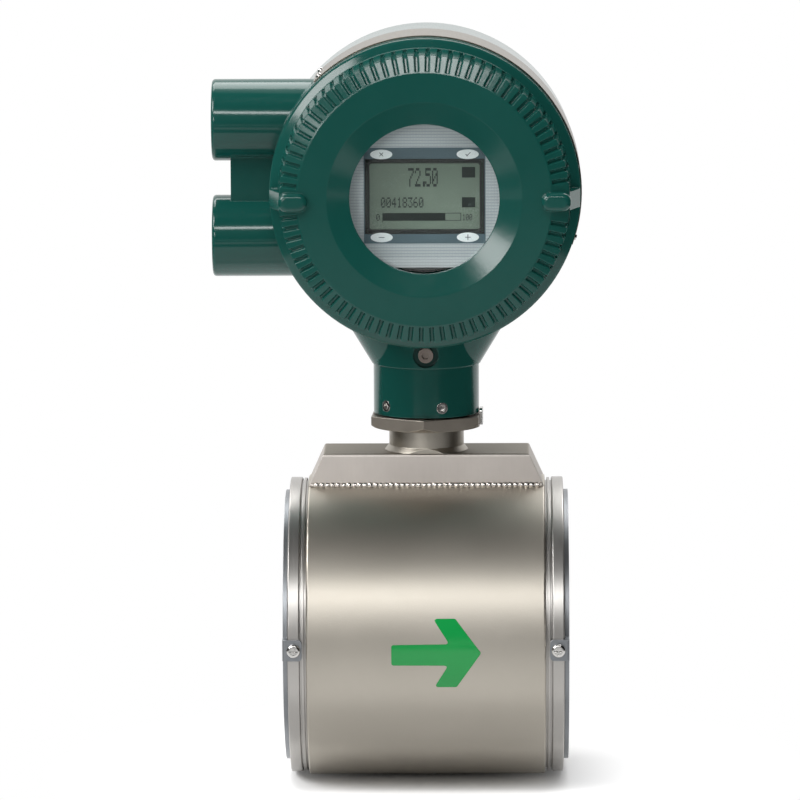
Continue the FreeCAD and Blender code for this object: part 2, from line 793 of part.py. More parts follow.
def converter_housing():
    neck = rod(neck_radius, point(0, 0, neck_bottom_z), along_z, neck_height + 5)
    solids = [throat(), neck, rear_lug()] + conduit_bosses()
    body = drum().fuse(solids)
    cuts = [at_front_mouth(mouth_cut(divider_front_y - housing_front_y)),
            at_rear_mouth(mouth_cut(housing_rear_y - divider_rear_y)),
            rod(spigot_bore_radius, point(0, 0, neck_bottom_z - 1), along_z,
                spigot_top_z + part_clearance - neck_bottom_z + 1),
            rod(wire_passage_radius, point(0, 0, neck_bottom_z), along_z,
                head_axis_z - chamber_radius - neck_bottom_z + 3),
            rod(divider_wire_hole_radius,
                point(0, divider_front_y - 1, head_axis_z + chamber_radius - divider_wire_hole_inset),
                along_y, divider_thickness + 2)]
    return body.cut(cuts + conduit_holes() + screw_holes()).removeSplitter()


def neck_set_screws():
    screws = []
    for angle in set_screw_angles:
        outward = set_screw_direction(angle)
        start = point(0, 0, set_screw_z) + outward * (spigot_radius + part_clearance)
        length = neck_radius + set_screw_proud - spigot_radius - part_clearance
        screw = rod(set_screw_radius, start, outward, length)
        socket_start = start + outward * (length - set_screw_socket_depth)
        socket = hexagon_prism(set_screw_socket, socket_start, outward, set_screw_socket_depth + 1)
        screws.append(screw.cut(socket))
    return screws


def lock_screw(head_seat_y, height, outward):
    # cap screw along Y, its head standing outwards from the seat
    direction = point(0, outward, 0)
    seat = point(0, head_seat_y, height)
    head = rod(lock_head_radius, seat, direction, lock_head_height)
    shank = rod(lock_shank_radius - part_clearance, seat, point(0, -outward, 0), lock_shank_length - 1)
    socket_start = point(0, head_seat_y + outward * (lock_head_height - lock_socket_depth), height)
    socket = hexagon_prism(lock_socket, socket_start, direction, lock_socket_depth + 1)
    return head.fuse(shank).cut(socket)


def cover_lock_screws():
    front_seat_y = -throat_radius + lock_recess_depth - lock_head_lift
    rear_seat_y = housing_rear_y - rear_lug_setback + lock_head_lift
    return [lock_screw(front_seat_y, lock_screw_z, -1), lock_screw(rear_seat_y, rear_lug_z, 1)]


# Nameplate band and rivets
def band_sector(inner, outer, start_y, width):
    start = math.radians(band_start_angle)
    profile = [point(inner * math.cos(start), start_y, head_axis_z + inner * math.sin(start)),
               point(outer * math.cos(start), start_y, head_axis_z + outer * math.sin(start)),
               point(outer * math.cos(start), start_y + width, head_axis_z + outer * math.sin(start)),
               point(inner * math.cos(start), start_y + width, head_axis_z + inner * math.sin(start))]
    sweep = band_end_angle - band_start_angle
    return face_of(profile).revolve(point(0, 0, head_axis_z), along_y, -sweep)


def nameplate_band():
    band = band_sector(band_inner_radius, band_outer_radius, band_front_y, band_width)
    for place in rivet_places():
        start = point(0, place[1], head_axis_z)
        band = band.cut(rod(rivet_shank_radius, start, place[0], band_outer_radius + 1))
    return band


def rivet_places():
    # outward direction and y of each rivet, two at each end of the band
    inset_angle = math.degrees(rivet_inset / housing_radius)
    places = []
    for angle in (band_start_angle + inset_angle, band_end_angle - inset_angle):
        outward = point(math.cos(math.radians(angle)), 0, math.sin(math.radians(angle)))
        places.append((outward, band_front_y + rivet_y_inset))
        places.append((outward, band_front_y + band_width - rivet_y_inset))
    return places


def nameplate_rivets():
    rivets = []
    for outward, y in rivet_places():
        seat = point(0, y, head_axis_z) + outward * band_outer_radius
        dome = Part.makeSphere(rivet_radius, seat)
        dome = dome.common(rod(rivet_radius + 1, seat, outward, rivet_head_height))
        shank_start = point(0, y, head_axis_z) + outward * band_inner_radius
        shank = rod(rivet_shank_radius, shank_start, outward, band_thickness)
        rivets.append(dome.fuse(shank))
    return rivets


# Screwed covers, built with the local +Z pointing out of the mouth
def cover_blank(outer_radius, centre_end):
    # outer form without ribs, lugs or cavity
    return turned([(0, -cover_spigot_length), (cover_spigot_radius, -cover_spigot_length),
                   (cover_spigot_radius, cover_seat_gap), (outer_radius, cover_seat_gap),
                   (outer_radius, rim_end - rim_chamfer), (outer_radius - rim_chamfer, rim_end),
                   (side_start_radius, rim_step_end), (cover_radius, cover_side_end),
                   (cover_face_radius, cover_face_end), (dish_radius, cover_face_end),
                   (window_radius, centre_end), (0, centre_end)])


def groove_run(start, end):
    # groove with sloping walls along a straight line of the surface, as (radius, height)
    first = point(start[0], 0, start[1])
    run = point(end[0], 0, end[1]) - first
    outward = along_y.cross(run)
    outward.normalize()
    lean = (groove_width - groove_floor_width) / 2.0 / groove_depth
    floor_half = along_y * (groove_floor_width / 2.0)
    lip_half = along_y * (groove_width / 2.0 + groove_lip * lean)
    floor = first - outward * groove_depth
    lip = first + outward * groove_lip
    section = face_of([floor - floor_half, floor + floor_half, lip + lip_half, lip - lip_half])
    return section.extrude(run)


def rib_groove():
    # one groove up the side and over the bevel, in the plane y = 0
    start = (cover_radius + (cover_side_end - groove_end) * side_slope, groove_end)
    past_side = (cover_radius - groove_overrun * side_slope, cover_side_end + groove_overrun)
    past_bevel = (cover_radius + groove_overrun, cover_side_end - groove_overrun * bevel_slope)
    end = (cover_face_radius + groove_start, cover_face_end - groove_start * bevel_slope)
    return [groove_run(start, past_side), groove_run(past_bevel, end)]


def rib_grooves():
    pitch = 360.0 / rib_count
    lug_reach = (lug_height + groove_width) / 2.0 + groove_lug_gap
    runs = rib_groove()
    grooves = []
    for index in range(rib_count):
        angle = pitch * (index + 0.5) + rib_turn
        if abs(cover_radius * math.sin(math.radians(angle)) + lug_drop) < lug_reach:
            continue
        for run in runs:
            groove = run.copy()
            groove.rotate(point(0, 0, 0), along_z, angle)
            grooves.append(groove)
    return grooves


def cover_lug(outer_radius):
    # bar on the bevel for a tommy bar or strap, with a wedge running back to the rim
    top = cover_face_end + lug_proud
    round_end = lug_height / 2.0
    lug_inner_radius = cover_face_radius - lug_inner_overlap
    lug_outer_radius = cover_radius + lug_outer_overlap
    bar_length = lug_outer_radius - lug_inner_radius
    foot = cover_side_end - lug_root
    centre = point((lug_inner_radius + lug_outer_radius) / 2.0, -lug_drop, (top + foot) / 2.0)
    bar = box(bar_length, lug_height, top - foot, centre)
    corners = [e for e in bar.Edges if abs(e.tangentAt(e.FirstParameter).z) > 0.99]
    bar = bar.makeFillet(round_end * 0.98, corners)
    top_edges = [e for e in bar.Edges if abs(e.CenterOfMass.z - top) < 0.01]
    bar = bar.makeFillet(lug_round, top_edges)
    inner = lug_outer_radius - wedge_thickness
    wedge_points = [(inner, rim_end), (outer_radius - wedge_rim_inset, rim_end),
                    (outer_radius - wedge_rim_inset, wedge_end),
                    (lug_outer_radius - wedge_top_inset, wedge_start), (inner, wedge_start)]
    low = -lug_drop - wedge_height / 2.0
    wedge = face_of([point(radius, low, height) for radius, height in wedge_points])
    return [bar, wedge.extrude(point(0, wedge_height, 0))]


def cover_body(outer_radius, centre_end):
    body = cover_blank(outer_radius, centre_end).cut(rib_grooves())
    lugs = []
    for solid in cover_lug(outer_radius):
        lugs.append(solid)
        lugs.append(mirrored_x(solid))
    return body.fuse(lugs)


def front_cover():
    hub_end = window_seat - window_gasket_thickness - glass_thickness - retainer_thickness
    cavity_end = cover_face_end - cover_face_wall
    cavity = turned([(0, -cover_spigot_length - 1), (cover_cavity_radius, -cover_spigot_length - 1),
                     (cover_cavity_radius, cover_cavity_corner),
                     (cover_face_radius - cover_cavity_inset, cavity_end),
                     (glass_hub_radius, cavity_end), (glass_hub_radius, hub_end),
                     (glass_pocket_radius, hub_end), (glass_pocket_radius, window_seat),
                     (window_radius, window_seat), (window_radius, cover_face_end + 5),
                     (0, cover_face_end + 5)])
    body = cover_body(rim_radius, cover_face_end - dish_depth).cut(cavity)
    return at_front_mouth(body.removeSplitter())


def rear_cover():
    cavity_end = cover_face_end - cover_face_wall
    cavity = turned([(0, -cover_spigot_length - 1), (cover_cavity_radius, -cover_spigot_length - 1),
                     (cover_cavity_radius, cover_cavity_corner),
                     (cover_face_radius - cover_cavity_inset, cavity_end), (0, cavity_end)])
    body = cover_body(rear_rim_radius, cover_face_end - rear_dish_depth).cut(cavity)
    return at_rear_mouth(body.removeSplitter())


def cover_seal():
    ring_radius = (cover_spigot_radius + seal_seat_radius) / 2.0
    return torus(ring_radius, cover_seal_section / 2.0 - 0.05, -seal_seat_depth / 2.0 + 0.05)


def window_gasket():
    ring = sleeve(glass_radius, window_radius + window_gasket_inset,
                  point(0, 0, window_seat - window_gasket_thickness), along_z, window_gasket_thickness)
    return at_front_mouth(ring)


def window_glass():
    start = window_seat - window_gasket_thickness - glass_thickness
    return at_front_mouth(rod(glass_radius, point(0, 0, start), along_z, glass_thickness))


def glass_retainer():
    start = window_seat - window_gasket_thickness - glass_thickness - retainer_thickness
    ring = sleeve(glass_pocket_radius - retainer_clearance, window_radius + retainer_bore_inset,
                  point(0, 0, start), along_z, retainer_thickness)
    return at_front_mouth(ring)


# Display stack, front to back
def display_bezel():
    plate = rod(bezel_radius, point(0, bezel_front_y, head_axis_z), along_y, bezel_thickness)
    height = bezel_drop + bezel_rise
    window = box(3 * bezel_radius, 4 * bezel_thickness, height,
                 point(0, bezel_front_y, head_axis_z + (bezel_rise - bezel_drop) / 2.0))
    plate = plate.common(window)
    opening = box(lcd_frame_width + 2 * lcd_clearance, 4 * bezel_thickness,
                  lcd_frame_height + 2 * lcd_clearance,
                  point(0, bezel_front_y, head_axis_z))
    plate = plate.cut(opening)
    for x, z in board_corners():
        plate = plate.cut(rod(display_screw_radius + part_clearance, point(x, bezel_front_y - 1, z),
                              along_y, bezel_thickness + 2))
    return plate


def lcd_frame():
    front_y = bezel_front_y - lcd_frame_proud
    tray = moved(rounded_plate(lcd_frame_width, lcd_frame_height, lcd_frame_depth, lcd_corner_radius),
                 0, front_y, head_axis_z)
    pocket = rounded_plate(lcd_frame_width - 2 * lcd_frame_wall, lcd_frame_height - 2 * lcd_frame_wall,
                           lcd_glass_recess + lcd_glass_thickness, lcd_pocket_corner_radius)
    return tray.cut(moved(pocket, 0, front_y, head_axis_z))


def lcd_glass():
    front_y = bezel_front_y - lcd_frame_proud + lcd_glass_recess
    margin = 2 * lcd_frame_wall + 2 * lcd_clearance
    plate = rounded_plate(lcd_frame_width - margin, lcd_frame_height - margin, lcd_glass_thickness,
                          lcd_pocket_corner_radius - lcd_clearance)
    return moved(plate, 0, front_y, head_axis_z)


def board_corners():
    corners = []
    reach_x = board_half_width - board_hole_inset_x
    reach_z = board_height / 2.0 - board_hole_inset_z
    for x in (-reach_x, reach_x):
        for z in (-reach_z, reach_z):
            corners.append((x, head_axis_z + z))
    return corners


def display_board_y():
    return bezel_front_y - lcd_frame_proud + lcd_frame_depth


def main_board_y():
    return display_board_y() + board_thickness + standoff_length


def circuit_board(front_y):
    board = rounded_plate(2 * board_half_width, board_height, board_thickness, board_corner_radius)
    board = moved(board, 0, front_y, head_axis_z)
    for x, z in board_corners():
        board = board.cut(rod(display_screw_radius + part_clearance, point(x, front_y - 1, z), along_y,
                              board_thickness + 2))
    return board


def pillars(start_y, end_y):
    return [sleeve(standoff_radius, display_screw_radius + part_clearance, point(x, start_y, z), along_y,
                   end_y - start_y) for x, z in board_corners()]


def display_screws():
    screws = []
    head_y = bezel_front_y - display_screw_head_height
    for x, z in board_corners():
        head = rod(display_screw_head_radius, point(x, head_y, z), along_y, display_screw_head_height)
        shank = rod(display_screw_radius, point(x, bezel_front_y, z), along_y,
                    divider_front_y - bezel_front_y)
        screws.append(head.fuse(shank))
    return screws


def power_module():
    front_y = main_board_y() + board_thickness
    return moved(rounded_plate(module_width, module_height, module_thickness, module_corner_radius),
                 0, front_y, head_axis_z)


# Terminals in the rear compartment
def terminal_pitch():
    return terminal_block_width / terminal_count


def terminal_block():
    centre_z = head_axis_z - terminal_block_drop
    base = box(terminal_block_width, terminal_block_thickness, terminal_block_height,
               point(0, divider_rear_y + terminal_block_thickness / 2.0, centre_z))
    barriers = []
    depth = terminal_block_thickness + barrier_height
    for index in range(terminal_count + 1):
        x = -terminal_block_width / 2.0 + index * terminal_pitch()
        x = max(-terminal_block_width / 2.0 + barrier_thickness / 2.0, x)
        x = min(terminal_block_width / 2.0 - barrier_thickness / 2.0, x)
        barriers.append(box(barrier_thickness, depth, terminal_block_height,
                            point(x, divider_rear_y + depth / 2.0, centre_z)))
    return base.fuse(barriers).removeSplitter()


def terminal_screws():
    screws = []
    start_y = divider_rear_y + terminal_block_thickness
    for index in range(terminal_count):
        x = -terminal_block_width / 2.0 + (index + 0.5) * terminal_pitch()
        seat = point(x, start_y, head_axis_z - terminal_block_drop)
        screw = rod(terminal_screw_radius, seat, along_y, terminal_screw_height)
        slot = box(2 * terminal_screw_radius, 2 * terminal_slot_depth, terminal_slot_width,
                   seat + point(0, terminal_screw_height, 0))
        screws.append(screw.cut(slot))
    return screws


def earth_screw():
    offset = (chamber_radius - earth_screw_inset) / math.sqrt(2.0)
    seat = point(offset, divider_rear_y, head_axis_z + offset)
    head = hexagon_prism(2 * earth_screw_radius, seat, along_y, earth_screw_length)
    slot = box(3 * earth_screw_radius, 2 * earth_slot_depth, earth_slot_width,
               seat + point(0, earth_screw_length, 0))
    return head.cut(slot)


def export(name, shape):
    solids = shape if isinstance(shape, list) else [shape]
    bodies = []
    for solid in solids:
        bodies.extend(solid.Solids)
    whole = bodies[0] if len(bodies) == 1 else Part.makeCompound(bodies)
    whole.exportStep("parts/" + name + ".step")


os.makedirs("parts", exist_ok=True)

outlet_flange = flange_ring()
outlet_earth_ring = earth_ring()
seal = cover_seal()

nodes = {
    "lining": lining(),
    "measuring_tube": measuring_tube(),
    "inlet_flange_ring": mirrored_x(outlet_flange),
    "outlet_flange_ring": outlet_flange,
    "sensor_shell": sensor_shell(),
    "inlet_earth_ring": mirrored_x(outlet_earth_ring),
    "outlet_earth_ring": outlet_earth_ring,
    "ring_gaskets": ring_gaskets(),
    "earth_ring_screws": tab_screws(),
    "electrodes": electrodes(),
    "electrode_bushes": electrode_bushes(),
    "electrode_nuts": electrode_nuts(),
    "yoke_band": yoke_band(),
    "pole_cores": pole_cores(),
    "field_coils": field_coils(),
    "pedestal": pedestal(),
    "neck_pipe": neck_pipe(),
    "neck_flange": neck_flange(),
    "neck_seal": neck_seal(),
    "stop_tab": stop_tab(),
    "converter_housing": converter_housing(),
    "neck_set_screws": neck_set_screws(),
    "cover_lock_screws": cover_lock_screws(),
    "nameplate_band": nameplate_band(),
    "nameplate_rivets": nameplate_rivets(),
    "front_cover": front_cover(),
    "front_cover_seal": at_front_mouth(seal),
    "window_gasket": window_gasket(),
    "window_glass": window_glass(),
    "glass_retainer": glass_retainer(),
    "rear_cover": rear_cover(),
    "rear_cover_seal": at_rear_mouth(seal),
    "display_bezel": display_bezel(),
    "lcd_frame": lcd_frame(),
    "lcd_glass": lcd_glass(),
    "display_board": circuit_board(display_board_y()),
    "bezel_spacers": pillars(bezel_front_y + bezel_thickness, display_board_y()),
    "board_standoffs": pillars(display_board_y() + board_thickness, main_board_y()),
    "main_board": circuit_board(main_board_y()),
    "board_feet": pillars(main_board_y() + board_thickness, divider_front_y),
    "display_screws": display_screws(),
    "power_module": power_module(),
    "terminal_block": terminal_block(),
    "terminal_screws": terminal_screws(),
    "earth_screw": earth_screw(),
}

for name, shape in nodes.items():
    export(name, shape)
print(len(nodes), "nodes written")
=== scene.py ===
import bpy
import bmesh
import math
import random
from mathutils import Matrix, Vector


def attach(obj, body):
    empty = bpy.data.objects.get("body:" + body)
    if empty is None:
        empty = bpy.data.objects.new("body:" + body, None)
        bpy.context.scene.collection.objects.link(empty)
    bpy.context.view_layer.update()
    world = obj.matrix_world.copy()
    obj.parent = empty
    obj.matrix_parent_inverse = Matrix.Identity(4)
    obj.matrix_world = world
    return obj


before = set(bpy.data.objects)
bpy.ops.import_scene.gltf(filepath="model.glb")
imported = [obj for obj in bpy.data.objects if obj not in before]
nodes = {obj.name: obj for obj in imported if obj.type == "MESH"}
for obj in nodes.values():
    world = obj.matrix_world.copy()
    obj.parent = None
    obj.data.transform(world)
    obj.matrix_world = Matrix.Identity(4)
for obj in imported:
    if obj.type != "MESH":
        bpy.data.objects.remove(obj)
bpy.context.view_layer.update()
mm = 0.001


# Camera
photoCamera = {
    "place": (0.0278, -2.6572, 0.4781),      # metres
    "forward": (-0.01458, 0.98979, -0.14181),
    "roll": -0.27,                           # degrees, the top leans left
    "focalPixels": 6258.3, "imagePixels": 800.0,
    "sensorWidth": 36.0,                     # mm
    "farLimit": 100.0,
}


def addCamera():
    print("camera")
    data = bpy.data.cameras.new("photoCamera")
    data.sensor_width = photoCamera["sensorWidth"]
    data.lens = photoCamera["focalPixels"] / photoCamera["imagePixels"] * photoCamera["sensorWidth"]
    data.clip_end = photoCamera["farLimit"]
    camera = bpy.data.objects.new("photoCamera", data)
    bpy.context.scene.collection.objects.link(camera)
    forward = Vector(photoCamera["forward"]).normalized()
    right = forward.cross(Vector((0, 0, 1))).normalized()
    up = right.cross(forward)
    roll = math.radians(photoCamera["roll"])
    rolledRight = right * math.cos(roll) + up * math.sin(roll)
    rolledUp = up * math.cos(roll) - right * math.sin(roll)
    turn = Matrix((rolledRight, rolledUp, -forward)).transposed()
    camera.matrix_world = Matrix.Translation(photoCamera["place"]) @ turn.to_4x4()
    bpy.context.scene.camera = camera


# Shader helpers
def newMaterial(name):
    material = bpy.data.materials.new(name)
    material.use_nodes = True
    tree = material.node_tree
    shader = tree.nodes["Principled BSDF"]
    return material, tree, shader


def addNode(tree, kind, **settings):
    node = tree.nodes.new(kind)
    for key, value in settings.items():
        if key in node.inputs:
            node.inputs[key].default_value = value
        else:
            setattr(node, key, value)
    return node


def newGroup(name, inputs, outputs):
    # inputs and outputs are lists of (name, socket type, default)
    group = bpy.data.node_groups.new(name, "ShaderNodeTree")
    for label, kind, default in inputs:
        socket = group.interface.new_socket(name=label, in_out="INPUT", socket_type=kind)
        socket.default_value = default
    for label, kind in outputs:
        group.interface.new_socket(name=label, in_out="OUTPUT", socket_type=kind)
    return group, group.nodes.new("NodeGroupInput"), group.nodes.new("NodeGroupOutput")


def placeGroup(tree, group, **values):
    node = tree.nodes.new("ShaderNodeGroup")
    node.node_tree = group
    for key, value in values.items():
        node.inputs[key].default_value = value
    return node


def mathNode(tree, operation, first, second=None, clamp=False):
    node = tree.nodes.new("ShaderNodeMath")
    node.operation = operation
    node.use_clamp = clamp
    for index, value in enumerate((first, second)):
        if value is None:
            continue
        if isinstance(value, (int, float)):
            node.inputs[index].default_value = value
        else:
            tree.links.new(value, node.inputs[index])
    return node.outputs[0]


def mixColors(tree, factor, first, second):
    node = tree.nodes.new("ShaderNodeMix")
    node.data_type = "RGBA"
    tree.links.new(factor, node.inputs[0])
    for index, value in ((6, first), (7, second)):
        if hasattr(value, "links"):
            tree.links.new(value, node.inputs[index])
        else:
            node.inputs[index].default_value = (*value, 1.0)
    return node.outputs[2]


def mapRange(tree, value, low, high, newLow, newHigh):
    node = tree.nodes.new("ShaderNodeMapRange")
    tree.links.new(value, node.inputs["Value"])
    for label, number in (("From Min", low), ("From Max", high), ("To Min", newLow), ("To Max", newHigh)):
        node.inputs[label].default_value = number
    return node.outputs["Result"]


# What a finish has where it gives no value of its own, and how its noise is used
plainSurface = {
    "grainScale": 900.0, "smudgeScale": 14.0, "stretch": (1.0, 1.0, 1.0), "height": 0.1, "rounding": 0.0003,
    "noiseRange": (0.3, 0.7),                # part of the noise that is spread over a colour or roughness
    "edgeRange": (0.70, 0.98),               # how well the rounded and plain normals agree: full edge, none
    "grainShare": 0.4, "smudgeShare": 0.6,   # in the roughness
    "bumpDistance": 0.0001, "bevelSamples": 6,
}


def buildSurfaceGroup():
    # fine grain and broad smudges, shared by the metals, paint and plastics
    group, source, sink = newGroup(
        "surfaceGrain",
        [("Grain Scale", "NodeSocketFloat", plainSurface["grainScale"]),
         ("Smudge Scale", "NodeSocketFloat", plainSurface["smudgeScale"]),
         ("Stretch", "NodeSocketVector", plainSurface["stretch"]),
         ("Height", "NodeSocketFloat", plainSurface["height"]),
         ("Rounding", "NodeSocketFloat", plainSurface["rounding"])],
        [("Grain", "NodeSocketFloat"), ("Smudge", "NodeSocketFloat"), ("Edge", "NodeSocketFloat"),
         ("Normal", "NodeSocketVector")])
    links = group.links
    place = group.nodes.new("ShaderNodeTexCoord").outputs["Object"]
    scaled = addNode(group, "ShaderNodeVectorMath", operation="MULTIPLY")
    links.new(place, scaled.inputs[0])
    links.new(source.outputs["Stretch"], scaled.inputs[1])
    grain = addNode(group, "ShaderNodeTexNoise", Detail=3.0, Roughness=0.6)
    links.new(scaled.outputs[0], grain.inputs["Vector"])
    links.new(source.outputs["Grain Scale"], grain.inputs["Scale"])
    smudge = addNode(group, "ShaderNodeTexNoise", Detail=5.0, Roughness=0.55)
    links.new(place, smudge.inputs["Vector"])
    links.new(source.outputs["Smudge Scale"], smudge.inputs["Scale"])
    bevel = addNode(group, "ShaderNodeBevel")
    bevel.samples = plainSurface["bevelSamples"]
    links.new(source.outputs["Rounding"], bevel.inputs["Radius"])
    plain = group.nodes.new("ShaderNodeNewGeometry")
    facing = addNode(group, "ShaderNodeVectorMath", operation="DOT_PRODUCT")
    links.new(bevel.outputs["Normal"], facing.inputs[0])
    links.new(plain.outputs["Normal"], facing.inputs[1])
    edge = mapRange(group, facing.outputs["Value"], *plainSurface["edgeRange"], 1.0, 0.0)
    bump = addNode(group, "ShaderNodeBump", Distance=plainSurface["bumpDistance"])
    links.new(source.outputs["Height"], bump.inputs["Strength"])
    links.new(grain.outputs["Fac"], bump.inputs["Height"])
    links.new(bevel.outputs["Normal"], bump.inputs["Normal"])
    links.new(grain.outputs["Fac"], sink.inputs["Grain"])
    links.new(smudge.outputs["Fac"], sink.inputs["Smudge"])
    links.new(edge, sink.inputs["Edge"])
    links.new(bump.outputs["Normal"], sink.inputs["Normal"])
    return group


surfaceGroup = buildSurfaceGroup()


def spreadNoise(tree, noise, newLow, newHigh):
    return mapRange(tree, noise, *plainSurface["noiseRange"], newLow, newHigh)


def finishMaterial(name, look):
    # a Principled finish with grain, smudges, edges in a colour of their own that paints a highlight on them
    # (painted shade on the band) and, if given, painted shade on the faces that turn upward
    material, tree, shader = newMaterial(name)
    values = {**plainSurface, **look}
    surface = placeGroup(tree, surfaceGroup, **{
        "Grain Scale": values["grainScale"], "Smudge Scale": values["smudgeScale"],
        "Stretch": values["stretch"], "Height": values["height"], "Rounding": values["rounding"]})
    patches = spreadNoise(tree, surface.outputs["Smudge"], 0.0, 1.0)
    color = mixColors(tree, patches, look["dark"], look["light"])
    # painted highlight: the rounded edges take the lighter edge colour; on the band the edge colour is
    # darker and paints shade there
    color = mixColors(tree, surface.outputs["Edge"], color, look.get("edge", look["light"]))
    # painted shade: faces that turn upward are darkened towards the given colour
    if "paintedTopShade" in look:
        split = addNode(tree, "ShaderNodeSeparateXYZ")
        tree.links.new(tree.nodes.new("ShaderNodeNewGeometry").outputs["Normal"], split.inputs[0])
        paintedTopShadeMask = mapRange(tree, split.outputs["Z"], *look["paintedTopShadeRange"], 0.0, 1.0)
        color = mixColors(tree, paintedTopShadeMask, color, look["paintedTopShade"])
    tree.links.new(color, shader.inputs["Base Color"])
    mixed = mathNode(tree, "ADD",
                     mathNode(tree, "MULTIPLY", surface.outputs["Grain"], plainSurface["grainShare"]),
                     mathNode(tree, "MULTIPLY", surface.outputs["Smudge"], plainSurface["smudgeShare"]))
    tree.links.new(spreadNoise(tree, mixed, *look["roughness"]), shader.inputs["Roughness"])
    tree.links.new(surface.outputs["Normal"], shader.inputs["Normal"])
    for label, value in look.get("plain", {}).items():
        shader.inputs[label].default_value = value
    return material


